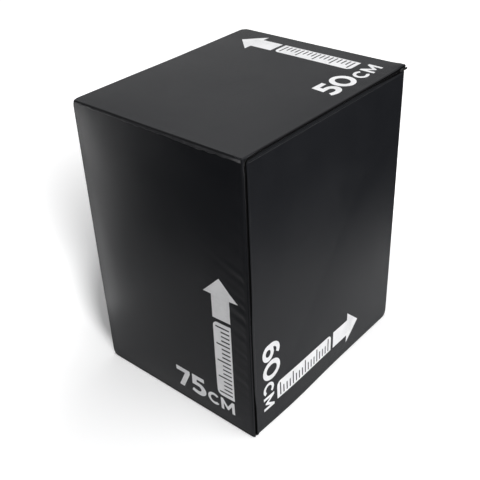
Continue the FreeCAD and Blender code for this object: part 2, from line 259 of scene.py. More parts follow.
class Group(Wiring):
    """The node group of one shared effect, with a place and a scale as its inputs."""

    def __init__(self, effect: Effect) -> None:
        """Builds the group.

        Args:
            effect: which effect.
        """
        super().__init__(bpy.data.node_groups.new(effect.value, "ShaderNodeTree"))
        for name, kind in (("Vector", "NodeSocketVector"), ("Scale", "NodeSocketFloat")):
            self.tree.interface.new_socket(name, in_out="INPUT", socket_type=kind)
        self.at, self.scale = self.tree.nodes.new("NodeGroupInput").outputs[:2]
        results = {
            Effect.GRAIN: self.grain, Effect.WEAVE: self.weave,
            Effect.HANDLING: self.handling, Effect.CELLS: self.cells,
        }[effect]()
        for name in results:
            self.tree.interface.new_socket(name, in_out="OUTPUT", socket_type="NodeSocketFloat")
        self.feed(self.tree.nodes.new("NodeGroupOutput"), **results)

    def cloud(self, share: float, detail: float = 2.0, **more: float) -> Outputs:
        """Noise at a multiple of the effect's scale."""
        made = self.feed(self.node("TexNoise"), Vector=self.at, Detail=detail, **more)
        return self.feed(made, Scale=self.times(self.scale, share)).outputs

    def grain(self) -> dict[str, Socket]:
        """Pebbled leather grain with finer pores.

        Returns:
            The group's outputs by name.
        """
        warp = Vector((0.0012, 0.0012, 0.0012))
        moved = self.vectors("MULTIPLY_ADD", self.cloud(0.3)["Color"], warp, self.at)[0]
        cells = self.node("TexVoronoi", feature="DISTANCE_TO_EDGE")
        self.feed(cells, Vector=moved, Scale=self.scale, Randomness=0.85)
        pebble = self.smooth(cells.outputs["Distance"], (0.0, 0.28))
        pores = self.times(self.cloud(2.6, 3.0)["Fac"], 0.35)
        return {"Height": self.sums("ADD", self.times(pebble, 0.65), pores), "Pebble": pebble}

    def weave(self) -> dict[str, Socket]:
        """Plain weave of two sets of threads that pass over and under.

        Returns:
            The group's outputs by name.
        """
        x, y, z = self.parts(self.at)
        turn = self.times(self.scale, math.pi)
        runs = (self.sums("ADD", x, y), self.sums("ADD", z, self.times(x, 0.5)))
        over = self.times(*(self.sums("SINE", self.times(run, turn)) for run in runs))
        fuzz = self.cloud(1.7)["Fac"]
        height = self.sums("ADD", self.level(over, 0.5, 1.0), self.times(fuzz, 0.35))
        return {"Height": height, "Tone": fuzz}

    def handling(self) -> dict[str, Socket]:
        """Soft smears and fine dust, as on a cover that is carried about.

        Returns:
            The group's outputs by name.
        """
        smear = self.cloud(1.0, 4.0, Roughness=0.6, Distortion=0.6)["Fac"]
        soft = self.smooth(smear, (0.3, 0.75))
        specks = self.node("MapRange")
        self.feed(specks, Value=self.cloud(60.0)["Fac"], From_Min=0.6, From_Max=0.8)
        return {"Smear": soft, "Dust": self.times(specks.outputs[0], soft)}

    def cells(self) -> dict[str, Socket]:
        """Cut foam: round cells of uneven size.

        Returns:
            The group's outputs by name.
        """
        cell = self.feed(self.node("TexVoronoi"), Vector=self.at, Scale=self.scale)
        height = self.sums("SUBTRACT", 1.0, cell.outputs["Distance"])
        # the tone follows the cells' height: painted shade in their hollows, made uneven by blotchy
        # noise
        tone = self.times(height, self.cloud(0.05, 3.0)["Fac"])
        return {"Height": height, "Tone": self.level(tone, 0.2, 1.0)}


class Surface(Wiring):
    """The wiring of one material."""

    def __init__(self, material: bpy.types.Material) -> None:
        """Starts on a new material.

        Args:
            material: the material.
        """
        material.use_nodes = True
        super().__init__(material.node_tree)
        self.at = self.node("TexCoord").outputs["Object"]

    def effect(self, effect: Effect, scale: float) -> Outputs:
        """Puts a shared effect on the surface, and builds its group the first time."""
        tree = bpy.data.node_groups.get(effect.value) or Group(effect).tree
        return self.feed(self.node("Group", node_tree=tree), Vector=self.at, Scale=scale).outputs

    def coat(self, **inputs: object) -> None:
        """Fills the shader's inputs."""
        self.feed(self.tree.nodes["Principled BSDF"], **inputs)


@dataclass(frozen=True)
class Finish:
    """A surface: its name, its colour in linear light, and how rough it is."""

    name: str
    colour: Colour
    roughness: float

    def wire(self, s: Surface) -> None:
        """Adds the finish's own detail to a plain material."""
        raise NotImplementedError

    def material(self) -> bpy.types.Material:
        """The finish's material, built the first time that it is asked for.

        Returns:
            The material.
        """
        made = bpy.data.materials.get(self.name)
        if made is None:
            made = bpy.data.materials.new(self.name)
            made.diffuse_color = (*self.colour, 1.0)
            self.wire(Surface(made))
        return made


@dataclass(frozen=True)
class Vinyl(Finish):
    """Satin vinyl with a fine leather grain, a little dulled where it is handled."""

    pebbles_per_metre: float = 760.0
    grain_depth: float = 0.11
    grain_share: float = 0.55
    smears_per_metre: float = 5.0
    wear: float = 0.09
    specular: float = 0.085
    dulled: Colour = (0.0130, 0.0136, 0.0156)
    # painted highlight: the paler colour laid where edges, the rolled lip and the front's strip
    # catch light
    folded: Colour = (0.06, 0.06, 0.063)
    # painted shade: the near-black colour laid in seams, in the zip's groove and on the lip over it
    deep: Colour = (0.0012, 0.0012, 0.0013)

    def wire(self, s: Surface) -> None:
        """Adds grain, smears and dust, a painted highlight on edges, the rolled lip and the front's
        strip, and a painted shade in seams and the zip's groove.

        Args:
            s: the material's wiring.
        """
        grain = s.effect(Effect.GRAIN, self.pebbles_per_metre)
        marks = s.effect(Effect.HANDLING, self.smears_per_metre)
        # folds carries the painted highlight, which also polishes; shade carries the painted shade
        folds, shade = (
            s.node("Attribute", attribute_name=name).outputs["Fac"] for name in (POLISH_AND_HIGHLIGHT, PAINTED_SHADE)
        )
        tone = s.sums("ADD", s.times(marks["Smear"], 0.5), s.times(marks["Dust"], 0.6))
        polish = s.sums("ADD", s.times(grain["Pebble"], 0.4), folds)
        rough = s.sums("SUBTRACT", marks["Smear"], polish)
        worn = s.level(rough, self.roughness, self.roughness + self.wear)
        flat = s.mixed(folds, s.tint(tone, self.colour, self.dulled), self.folded)
        s.coat(
            Base_Color=s.mixed(shade, flat, self.deep),
            Roughness=s.sums("ADD", worn, s.times(shade, 0.5)),
            Normal=s.bump(grain["Height"], self.grain_depth, self.grain_share),
            Specular_IOR_Level=self.specular,
        )


@dataclass(frozen=True)
class Woven(Finish):
    """Woven cloth or tape, with matt threads that catch a little light."""

    threads_per_metre: float = 1600.0
    thread_height: float = 0.18
    smears_per_metre: float = 14.0
    light: Colour = (0.03, 0.03, 0.032)
    dullest: float = 0.95
    sheen: float = 0.15
    specular: float = 0.2

    def wire(self, s: Surface) -> None:
        """Adds threads and lint.

        Args:
            s: the material's wiring.
        """
        weave = s.effect(Effect.WEAVE, self.threads_per_metre)
        marks = s.effect(Effect.HANDLING, self.smears_per_metre)
        s.coat(
            Base_Color=s.tint(s.times(weave["Tone"], marks["Smear"]), self.colour, self.light),
            Roughness=s.level(weave["Tone"], self.roughness, self.dullest),
            Normal=s.bump(weave["Height"], self.thread_height),
            Specular_IOR_Level=self.specular,
            Sheen_Weight=self.sheen,
        )


@dataclass(frozen=True)
class Ink(Finish):
    """Screen-printed ink that follows the vinyl's grain and thins here and there."""

    thin: Colour = (0.62, 0.62, 0.63)
    pebbles_per_metre: float = 760.0
    grain_depth: float = 0.09
    grain_share: float = 0.5
    smears_per_metre: float = 22.0
    wear: float = 0.12
    specular: float = 0.3

    def wire(self, s: Surface) -> None:
        """Adds the grain below and uneven cover.

        Args:
            s: the material's wiring.
        """
        grain = s.effect(Effect.GRAIN, self.pebbles_per_metre)
        marks = s.effect(Effect.HANDLING, self.smears_per_metre)
        bare = s.times(marks["Smear"], s.sums("SUBTRACT", 1.0, grain["Pebble"]))
        s.coat(
            Base_Color=s.tint(bare, self.colour, self.thin),
            Roughness=s.level(grain["Pebble"], self.roughness + self.wear, self.roughness),
            Normal=s.bump(grain["Height"], self.grain_depth, self.grain_share),
            Specular_IOR_Level=self.specular,
        )


@dataclass(frozen=True)
class Moulded(Finish):
    """Drawn nylon: smooth, with slight flow marks."""

    light: Colour = (0.007, 0.007, 0.0075)
    smears_per_metre: float = 45.0
    flow_depth: float = 0.04
    wear: float = 0.15
    specular: float = 0.06

    def wire(self, s: Surface) -> None:
        """Adds flow marks.

        Args:
            s: the material's wiring.
        """
        flow = s.effect(Effect.HANDLING, self.smears_per_metre)["Smear"]
        s.coat(
            Base_Color=s.tint(flow, self.colour, self.light),
            Roughness=s.level(flow, self.roughness, self.roughness + self.wear),
            Normal=s.bump(flow, self.flow_depth),
            Specular_IOR_Level=self.specular,
        )


@dataclass(frozen=True)
class Metal(Finish):
    """Cast zip metal with a dark plating that has worn bright in places."""

    worn: Colour = (0.16, 0.16, 0.157)
    smears_per_metre: float = 260.0
    pits_per_metre: float = 3200.0
    pit_depth: float = 0.02
    pit_share: float = 0.6
    wear: float = 0.14

    def wire(self, s: Surface) -> None:
        """Adds wear and fine pitting.

        Args:
            s: the material's wiring.
        """
        worn = s.effect(Effect.HANDLING, self.smears_per_metre)["Smear"]
        pits = s.effect(Effect.CELLS, self.pits_per_metre)["Height"]
        s.coat(
            Base_Color=s.tint(worn, self.colour, self.worn),
            Roughness=s.level(worn, self.roughness + self.wear, self.roughness),
            Normal=s.bump(pits, self.pit_depth, self.pit_share),
            Metallic=1.0,
        )


@dataclass(frozen=True)
class Foam(Finish):
    """Cut foam with open cells."""

    cells_per_metre: float = 700.0
    cell_depth: float = 0.5
    # the dark end: painted shade in the cells' hollows, also blotches and stains
    shaded: Colour = (0.45, 0.45, 0.44)
    smears_per_metre: float = 7.0
    stain: float = 0.8
    dullest: float = 0.97
    specular: float = 0.15

    def wire(self, s: Surface) -> None:
        """Adds cells, with painted shade in their hollows, and uneven colour.

        Args:
            s: the material's wiring.
        """
        cells = s.effect(Effect.CELLS, self.cells_per_metre)
        smear = s.effect(Effect.HANDLING, self.smears_per_metre)["Smear"]
        tone = s.times(cells["Tone"], s.level(smear, 1.0, self.stain))
        s.coat(
            Base_Color=s.tint(tone, self.shaded, self.colour),
            Roughness=s.level(cells["Height"], self.dullest, self.roughness),
            Normal=s.bump(cells["Height"], self.cell_depth),
            Specular_IOR_Level=self.specular,
        )


@dataclass(frozen=True)
class Paper(Finish):
    """Plain matt paper for the studio, with slightly uneven fibres."""

    darker: Colour
    patches_per_metre: float

    def wire(self, s: Surface) -> None:
        """Adds the unevenness.

        Args:
            s: the material's wiring.
        """
        patch = s.feed(s.node("TexNoise"), Vector=s.at, Scale=self.patches_per_metre)
        s.coat(
            Base_Color=s.tint(patch.outputs["Fac"], self.darker, self.colour),
            Roughness=self.roughness,
            Specular_IOR_Level=0.0,
        )


VINYL = Vinyl("black_vinyl", (0.0074, 0.0080, 0.0098), 0.34)
BACKING = Woven(
    "cover_backing", (0.010, 0.010, 0.0105), 0.85, light=(0.03, 0.03, 0.031),
    threads_per_metre=900.0, thread_height=0.3, sheen=0.05, specular=0.08,
)
INK = Ink("print_ink", (0.82, 0.82, 0.83), 0.42)
# near black, darker than the tape itself: partly its own colour, partly painted shade for the zip's
# groove
TAPE = Woven(
    "woven_zip_tape", (0.002, 0.002, 0.0021), 0.85, light=(0.005, 0.005, 0.0053),
    sheen=0.0, specular=0.02,
)
BINDING = Woven("woven_binding", (0.014, 0.014, 0.015), 0.8, threads_per_metre=1200.0)
# near black, darker than the coil itself: partly its own colour, partly painted shade for the zip's
# groove
COIL = Moulded("nylon_coil", (0.003, 0.003, 0.0032), 0.5)
THREAD = Woven(
    "sewing_thread", (0.012, 0.012, 0.013), 0.6, threads_per_metre=2600.0, thread_height=0.08
)
GUNMETAL = Metal("plated_metal", (0.02, 0.02, 0.021), 0.3)
SOFT_FOAM = Foam("cut_soft_foam", (0.62, 0.62, 0.60), 0.9)
CORE_FOAM = Foam(
    "cut_core_foam", (0.80, 0.80, 0.79), 0.85, cells_per_metre=260.0,
    cell_depth=0.9, shaded=(0.66, 0.66, 0.65),
)
GROUND = Paper("studio_ground", (0.125, 0.125, 0.131), 0.9, (0.1125, 0.1125, 0.1179), 2.0)
SHEET = Paper("studio_paper", (0.76, 0.76, 0.765), 0.9, (0.74, 0.74, 0.745), 3.0)


def finished(name: str, bm: Shape, *finishes: Finish, sharp: float = 50.0) -> Piece:
    """Turns a shape in millimetres into an object at the origin, in metres.

    Args:
        name: the piece's name.
        bm: its shape, which is used up.
        finishes: its finishes, one for each material slot.
        sharp: edges that turn by more degrees than this stay crisp.

    Returns:
        The new object.
    """
    bmesh.ops.scale(bm, vec=(MM, MM, MM), verts=bm.verts[:])
    mesh = bpy.data.meshes.new(name)
    bm.to_mesh(mesh)
    bm.free()
    mesh.shade_smooth()
    mesh.set_sharp_from_angle(angle=math.radians(sharp))
    piece = bpy.data.objects.new(name, mesh)
    bpy.context.scene.collection.objects.link(piece)
    for finish in finishes:
        mesh.materials.append(finish.material())
    return piece


def stands_for(
    piece: Piece, slot: str, nodes: Sequence[str], body: str | None = COVER_BODY
) -> Piece:
    """Puts a piece in the place of CAD nodes.

    Args:
        piece: the finished piece.
        slot: the record's material slot; not used.
        nodes: the nodes that it replaces.
        body: the body that it rides on, or None for a piece that crosses the crease, which is left
            on no body with its transform baked.

    Returns:
        The same piece.
    """
    if body:
        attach(piece, body)
    if nodes:
        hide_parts(*nodes)
    LOG.info("%s: %d faces", piece.name, len(piece.data.polygons))
    if body is None:
        CREASE.fold(piece)
    return piece


def soften(bm: Shape, edges: Sequence[bmesh.types.BMEdge], width: float, segments: int) -> None:
    """Rounds edges of a shape in a number of faces, from a width back."""
    bmesh.ops.bevel(
        bm, geom=edges, offset=width, offset_type="OFFSET", segments=segments,
        profile=0.5, affect="EDGES", material=-1, clamp_overlap=True,
    )


def softened(node: str, width: float, segments: int = 2) -> Shape:
    """A copy of a node's shape with rounded edges, in millimetres.

    Args:
        node: the CAD node.
        width: how far back from the edges the rounding starts.
        segments: faces across each rounding.

    Returns:
        The new shape.
    """
    bm = bmesh.new()
    bm.from_mesh(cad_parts[node].data)
    bmesh.ops.scale(bm, vec=(1 / MM, 1 / MM, 1 / MM), verts=bm.verts[:])
    bmesh.ops.remove_doubles(bm, verts=bm.verts[:], dist=0.001)
    flat = math.radians(1)
    bmesh.ops.dissolve_limit(bm, angle_limit=flat, verts=bm.verts[:], edges=bm.edges[:])
    crisp = 0.4
    edges = [e for e in bm.edges if e.is_manifold and e.calc_face_angle() > crisp]
    soften(bm, edges, width, segments)
    return bm


def slice_at(bm: Shape, point: Vector, across: Vector, near: float) -> None:
    """Cuts a whole shape along a plane, through corners that are near enough to it."""
    geom = bm.verts[:] + bm.edges[:] + bm.faces[:]
    bmesh.ops.bisect_plane(bm, geom=geom, dist=near, plane_co=point, plane_no=across)


def cut_fine(bm: Shape, axes: Iterable[Vector], step: float) -> None:
    """Cuts a shape into small faces, so that it can follow or take a soft form.

    Args:
        bm: the shape.
        axes: the directions to cut across.
        step: how far apart the cuts are.
    """
    for axis in axes:
        reach = [v.co.dot(axis) for v in bm.verts]
        first = math.floor(min(reach) / step) + 1
        for k in range(first, math.ceil(max(reach) / step)):
            slice_at(bm, axis * (k * step), axis, 1e-4)


def surface_of(piece: Piece) -> BVHTree:
    """A search tree of a piece's own faces, in metres."""
    corners, faces = piece.data.vertices, piece.data.polygons
    return BVHTree.FromPolygons([v.co for v in corners], [p.vertices[:] for p in faces])


def lay_on(bm: Shape, surface: BVHTree, out: Vector, base: float) -> None:
    """Moves a flat shape onto a soft surface, along one direction.

    Args:
        bm: the shape, in millimetres, drawn on the flat side of the box.
        surface: the surface to lie on.
        out: the direction that the surface faces.
        base: where the flat side is along that direction.
    """
    clear = out * 60.0
    for vert in bm.verts:
        lift = vert.co.dot(out) - base
        flat = vert.co - out * lift
        hit = surface.ray_cast((flat + clear) * MM, -out)[0]
        if hit is not None:
            vert.co = flat + out * (hit.dot(out) / MM - flat.dot(out) + lift)


@dataclass(frozen=True)
class BoxForm:
    """The stuffed shape that all panels share.

    A point of the sharp box goes to the rounded one, so panels that meet on a
    sharp edge also meet in its seam. A pair named for a change is where it starts
    and how far it runs.
    """

    edge_radius: float = 2.6
    seam_depth: float = 0.6
    fullness: float = 0.3
    belly: float = 5.0
    belly_at: float = -150.0
    belly_length: float = 150.0
    belly_height: float = 130.0
    belly_from: Pair = (150.0, 100.0)
    rear_rise: float = 2.0
    rear_from: Pair = (120.0, 180.0)
    unevenness: float = 0.8
    wave_length: float = 190.0
    calm_reach: float = 70.0
    floor_reach: float = 40.0
    ear: float = 3.0
    ear_reach: float = 20.0
    ear_before: float = 4.0
    ear_from: Pair = (741.0, 6.0)
    ear_out: float = 2.8
    ear_out_reach: float = 5.5
    ear_out_from: Pair = (737.0, 8.0)
    corner: float = 1.6
    corner_reach: float = 9.0
    foot_corner: float = 2.4
    foot_reach: float = 11.0
    lip_roll: float = 2.4
    lip_roll_width: float = 11.0
    lip_roll_depth: float = 4.6
    lip_roll_ease: Pair = (100.0, 500.0)
    lip_roll_end: Pair = (728.0, -25.0)

    def rounded(self, sharp: Vector) -> Vector:
        """Where a point of the sharp box lies on the stuffed one.

        Args:
            sharp: a point on the sharp box.

        Returns:
            The point on the stuffed box.
        """
        p = sharp - MIDDLE
        inner = [h - self.edge_radius for h in HALF]
        core = Vector([max(-h, min(h, v)) for h, v in zip(inner, p)])
        away = p - core
        if away.length < 1e-9:
            return self.settled(sharp)
        seam = self.edge_radius - self.seam_depth * self.nearness_to_seam(away)
        return self.settled(MIDDLE + core + away.normalized() * seam)

    def nearness_to_seam(self, away: Vector) -> float:
        """How near a rounded point is to a sewn seam.

        Args:
            away: the point's way from the box's inner core.

        Returns:
            0 away from seams, 1 on one; 0 on the two edges that the zip opens.
        """
        near = 0.0
        open_front, open_top = away[0] > 0 > away[1], away[0] > 0 and away[2] > 0
        for i, j, zipped in ((0, 1, open_front), (0, 2, open_top), (1, 2, False)):
            low, high = sorted((abs(away[i]), abs(away[j])))
            if high > 1e-9 and not zipped:
                near = max(near, rise(low / high, 0.55, 0.45))
        return near

    def settled(self, p: Vector) -> Vector:
        """Adds the belly over the bottom seam, fuller sides, unevenness and the raised rear edge.

        Args:
            p: a point on the rounded box.

        Returns:
            The point after the cover has settled.
        """
        bow = hump(p.y - self.belly_at, self.belly_length) * math.exp(-abs(p.z) / self.belly_height)
        moved = p + X * (self.belly * bow * rise(p.x, *self.belly_from))
        right, front, back = HALF[0] - p.x, p.y + HALF[1], p.y - HALF[1]
        calm = ease(min(max(right, front), max(right, HEIGHT - p.z)) / self.calm_reach)
        wave = noise.noise_vector(p / self.wave_length) * (self.unevenness * calm)
        wave.z *= ease(p.z / self.floor_reach)
        stout = 1.0 - ((p.z - HALF[2]) / HALF[2]) ** 2
        side = Vector((p.x / HALF[0], p.y / HALF[1], 0.0)) * (self.fullness * stout * calm)
        high = self.ear * hump(math.hypot(right, back + self.ear_before), self.ear_reach)
        high += self.rear_rise * rise(p.y, *self.rear_from)
        snug = self.ear_out * hump(math.hypot(right, back), self.ear_out_reach)
        bunch = Z * (high * rise(p.z, *self.ear_from))
        bunch += (X + Y) * (snug * rise(p.z, *self.ear_out_from))
        return moved + wave + side + bunch + self.tucked(p) + self.rolled_in(p)

    def tucked(self, p: Vector) -> Vector:
        """How far the soft corners draw in, other than the two at the zip's front edge.

        Args:
            p: a point on the rounded box.

        Returns:
            The way that it moves.
        """
        if p.x > 0 and p.y <= 0:
            return Vector()
        off = Vector((HALF[0] - abs(p.x), HALF[1] - abs(p.y), min(p.z, HEIGHT - p.z)))
        sides = Vector((-math.copysign(1.0, p.x), -math.copysign(1.0, p.y), 0.0))
        if p.z < HALF[2]:
            return (sides * 0.7 + Z * 0.5) * (self.foot_corner * hump(off.length, self.foot_reach))
        if p.x > 0:
            sides.x *= 0.3
        return (sides - Z) * (self.corner * hump(off.length, self.corner_reach))

    def rolled_in(self, p: Vector) -> Vector:
        """How far the front's edge beside the zip rolls in.

        Args:
            p: a point on the rounded box.

        Returns:
            The way that it moves.
        """
        across = 1.0 - (HALF[0] - p.x) / self.lip_roll_width
        inward = 1.0 - (p.y + HALF[1]) / self.lip_roll_depth
        near = min(1.0, max(0.0, across)) ** 2 * min(1.0, max(0.0, inward)) ** 2
        low = 1.0 - 0.45 * rise(p.z, *self.lip_roll_ease)
        return Y * (self.lip_roll * low * near * rise(p.z, *self.lip_roll_end))


@dataclass(frozen=True)
class ZipPath:
    """The zip's way: up the front edge, round the top corner, back along the top."""

    x: float = 250.0
    bend_y: float = -281.0
    bend_z: float = 731.0
    lip: float = 4.0
    lip_bend: float = 15.0
    flap_bend: float = 9.0
    roll: float = 1.3
    bottom: float = 1.3
    rear: float = 298.7

    @property
    def centre(self) -> Vector:
        """The middle of the bend."""
        return Vector((self.x, self.bend_y, self.bend_z))

    def lip_edge(self, along: float) -> tuple[Vector, Vector, float]:
        """The inner edge of a lip, seen from the box's top front corner.

        Args:
            along: the distance from that corner along the box's edge.

        Returns:
            The edge point as (along, depth), the way into the groove, and the
            radius of the rolled edge there.
        """
        middle = self.lip + self.lip_bend
        if along >= middle:
            return Vector((along, self.lip)), Vector((0.0, 1.0)), self.roll
        mitre = middle - self.lip_bend * math.sqrt(0.5)
        if along < mitre - 1e-6:
            return Vector((along, along)), Vector((0.7071, 0.7071)), 0.0
        depth = middle - math.sqrt(self.lip_bend**2 - (middle - along) ** 2)
        edge = Vector((along, depth))
        return edge, (Vector((middle, middle)) - edge).normalized(), self.roll


@dataclass(frozen=True)
class Crease:
    """The diagonal on which the zip side's loose corner folds back."""

    start: Vector = Vector((250.0, -290.0, 46.0)).freeze()
    way: Vector = Vector((0.0, -0.78703, 0.61692)).freeze()
    bend: float = 12.0
    cuts: int = 12

    def past(self, p: Vector) -> float:
        """How far a point lies past the crease, on the loose corner's side."""
        return (p - self.start).dot(self.way)

    def fold(self, piece: Piece) -> None:
        """Bakes the transform of a piece that crosses the crease into its mesh."""
        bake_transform(piece)

    def cut(self, bm: Shape, unit: float) -> None:
        """Cuts a shape along the crease, so that it can fold there in a smooth round.

        Args:
            bm: the shape.
            unit: the length of a millimetre in it.
        """
        for k in range(self.cuts + 1):
            line = self.start + self.way * (self.bend * k / self.cuts)
            slice_at(bm, line * unit, self.way, 0.02 * unit)


@dataclass(frozen=True)
class SeamStrip:
    """The turned-in strip under the top seams, which stands out on the front."""

    width: float = 10.6
    least_width: float = 0.62
    widens: Pair = (-260.0, 420.0)
    ragged: tuple[tuple[float, float, float], ...] = ((2.8, 16.0, 5.0), (1.4, 60.0, 9.0))
    crest: float = 2.8
    fullness: tuple[float, float, float] = (0.4, 0.6, 0.3)
    fills: Pair = (-130.0, 300.0)
    flare: float = 1.5
    flare_width: float = 14.0
    plain_crest: float = 0.6
    fold: float = 2.2
    ramp: Pair = (0.8, 3.2)
    corner: Pair = (3.0, -4.0)
    zone: Pair = (8.0, 16.0)
    zip_gap: float = 3.0
    # painted highlight, with polish, on the front's strip: brighter to the right and as a painted
    # glint near the zip
    polished: tuple[float, float, float] = (0.14, 0.4, 0.9)
    polish_from: Pair = (-100.0, 300.0)
    polish_edge: float = 2.6
    bright_width: float = 13.0

    def width_at(self, along: float) -> float:
        """How wide the strip is at a place along the seam, from the middle of the side.

        Args:
            along: the place.

        Returns:
            The width, in millimetres.
        """
        least = self.least_width
        even = self.width * (least + (1.0 - least) * rise(along, *self.widens))
        return even + sum(high * ripple(along / long, seed) for high, long, seed in self.ragged)

    def lift(self, face: Face, along: float, off: float) -> float:
        """How far the strip lifts a point of an upright panel.

        Args:
            face: the panel's side.
            along: the point's place along the seam.
            off: its distance under the seam.

        Returns:
            The lift, in millimetres.
        """
        crest, width = self.plain_crest, self.width_at(along)
        if face is Face.FRONT:
            least, more, uneven = self.fullness
            full = least + more * rise(along, *self.fills) + uneven * ripple(along / 16.0, 13.0)
            flare = hump(face.wide - self.flare_width - along, self.flare_width)
            crest = self.crest * full + self.flare * flare
        start, lost = self.ramp
        ramp = min(1.0, max(0.0, (off - start) / (width - lost)))
        inset, run = self.corner
        ends = rise(off, width, -self.fold) * rise(abs(along), face.wide - inset, run)
        return crest * ramp * ends

    def polish(self, p: Vector) -> float:
        """How much the strip is polished and painted paler at a point, a painted highlight.

        Args:
            p: the point, in millimetres.

        Returns:
            0 away from the front's strip, about 1 where it is palest.
        """
        off = HEIGHT - p.z
        deep, tall = self.zone
        if p.y >= deep - HALF[1] or off >= tall or p.x >= ZIP.x - self.zip_gap:
            return 0.0
        least, more, bright = self.polished
        # painted glint at the strip's end beside the zip
        near_zip = hump(ZIP.x - self.bright_width - p.x, self.bright_width)
        share = least + more * rise(p.x, *self.polish_from) + bright * near_zip
        share *= 0.8 + 0.6 * ripple(p.x / 15.0, 31.0)
        edge, end = self.polish_edge, self.width_at(p.x) + 1.2
        return share * rise(off, 2.4, edge) * rise(off, end, -edge)


FORM = BoxForm()
ZIP = ZipPath()
CREASE = Crease()
STRIP = SeamStrip()


@dataclass
class Panel:
    """One panel of the cover, and how far it swells over the foam."""

    name: str
    face: Face
    nodes: tuple[str, ...]
    pad: str
    crown: float
    flat: Pair
    lip: bool = False
    piece: Piece | None = None
    rest: list[Vector] = field(default_factory=list)


@dataclass
class Cover:
    """The vinyl cover: five sewn panels and the zip side with its loose corner."""

    step: float = 11.0
    thickness: float = 1.0
    near_seam: tuple[float, ...] = (
        0.0, 0.7, 1.5, 2.4, 3.3, 4.5, 6.3, 8.2, 10.0, 11.3, 12.6, 14.2, 18.0
    )
    lip_lines: tuple[float, ...] = (0.2, 0.4, 0.6, 0.8, 1.0)
    roll_lines: tuple[float, ...] = (0.22, 0.45, 0.7, 0.95, 1.2)
    hem_lines: tuple[float, ...] = (0.6, 1.1, 1.5, 1.9, 2.4, 3.1, 4.2, 5.3, 6.3, 7.0)
    hem_rise: float = 2.0
    hem_rise_level: float = 1.0
    hem_rise_at_slider: float = 0.2
    hem_drop: float = 5.8
    hem_drop_from: Pair = (120.0, 165.0)
    hem_over: float = 2.4
    hem_back: float = 0.9
    hem_shut: float = 3.1
    shut_from: Pair = (85.0, 60.0)
    shut_to: Pair = (440.0, -130.0)
    stitch_line: float = 1.5
    seam_margin: float = 18.5
    zip_margin: float = 26.0
    crease_margin: float = 45.0
    pucker: float = 0.34
    pucker_length: float = 13.0
    pucker_from: Pair = (2.5, 7.0)
    pucker_reach: float = 24.0
    seam_pull: float = 3.0
    top_pull_share: float = 0.4
    pull_from: float = 6.0
    pull_reach: float = 36.0
    zip_pull: float = 3.0
    zip_pull_at: float = 330.0
    zip_pull_height: float = 180.0
    zip_pull_from: Pair = (5.0, 10.0)
    zip_pull_reach: float = 46.0
    zip_pull_length: float = 15.0
    zip_pull_slant: float = 0.45
    # painted highlight, with polish: paler vinyl along edges and on the rolled lip beside the zip
    edge_polish: float = 0.12
    edge_polish_width: float = 2.6
    lip_polish: Pair = (0.18, 0.82)
    lip_polish_reach: float = 75.0
    lip_polish_at: float = 0.9
    lip_polish_width: float = 0.8
    # painted shade: darker vinyl along seams, under the front's top seam, at its foot, in the zip's
    # groove and on the lip over it
    seam_shade_width: float = 0.9
    foot_shade: Pair = (3.4, 2.0)
    top_shade: Pair = (1.8, 1.1)
    top_shade_depth: float = 0.85
    groove_level_from: Pair = (24.0, 30.0)
    groove_upright_from: Pair = (24.0, 20.0)
    groove_turn: float = 6.0
    groove_edge: float = 0.5
    lip_shade: float = 0.8
    frames: int = 20
    panels: list[Panel] = field(default_factory=lambda: [
        Panel("cover_front", Face.FRONT, ("front_panel",), "front_pad", 3.6, (0.505, 0.75), True),
        Panel("cover_top", Face.TOP, ("top_panel",), "top_pad", 1.6, (0.505, 0.6), True),
        Panel("cover_back", Face.BACK, ("back_panel",), "back_pad", 3.0, (0.5, 0.75)),
        Panel("cover_left", Face.LEFT, ("left_panel",), "left_pad", 3.0, (0.6, 0.75)),
        Panel("cover_bottom", Face.BOTTOM, ("bottom_panel",), "bottom_pad", 0.0, (0.5, 0.6)),
        Panel("cover_zip_side", Face.ZIP, ("zip_panel", "zip_flap"), "right_pad", 2.4,
              (0.592, 0.742)),
    ])

    def lines(self, low: float, high: float, ends: tuple[bool, bool] = (True, True)) -> list[float]:
        """Grid lines that draw together at the seams.

        Args:
            low: the first line's place.
            high: the last line's place.
            ends: whether there is a seam at the first and at the last line.

        Returns:
            The places of all the lines, in order.
        """
        first = [low + d for d in self.near_seam] if ends[0] else [low]
        last = [high - d for d in reversed(self.near_seam)] if ends[1] else [high]
        count = max(1, round((last[0] - first[-1]) / self.step))
        gap = (last[0] - first[-1]) / count
        return first + [first[-1] + gap * k for k in range(1, count)] + last

    def laid(
        self, us: Sequence[float], vs: Sequence[float], place: Callable[[float, float], Vector]
    ) -> Shape:
        """A grid with each crossing moved to its place.

        Args:
            us: the lines across.
            vs: the lines up.
            place: where the crossing of two lines goes.

        Returns:
            The laid grid.
        """
        bm = bmesh.new()
        wide, high = len(us) - 1, len(vs) - 1
        bmesh.ops.create_grid(bm, x_segments=wide, y_segments=high, size=1.0)
        for vert in bm.verts:
            u = us[round((vert.co.x + 1.0) / 2.0 * wide)]
            v = vs[round((vert.co.y + 1.0) / 2.0 * high)]
            vert.co = place(u, v)
        bmesh.ops.remove_doubles(bm, verts=bm.verts[:], dist=0.01)
        return bm

    def sewn(self, panel: Panel) -> Shape:
        """A panel that is sewn on all sides, or on all but the one with a lip.

        Args:
            panel: which panel.

        Returns:
            Its shape before it swells.
        """
        face = panel.face
        wide, high = face.wide, face.high
        us, vs = self.lines(-wide, wide), self.lines(-high, high)
        if panel.lip:
            us += [wide + t for t in self.lip_lines] + [wide + 1.0 + t for t in self.roll_lines]
            middle = ZIP.lip + ZIP.lip_bend
            bend = [middle - ZIP.lip_bend * math.sin(math.radians(a)) for a in range(0, 46, 9)]
            ends = [high - d for d in bend] if face is Face.FRONT else [d - high for d in bend]
            vs = sorted({round(v, 4) for v in vs + ends})

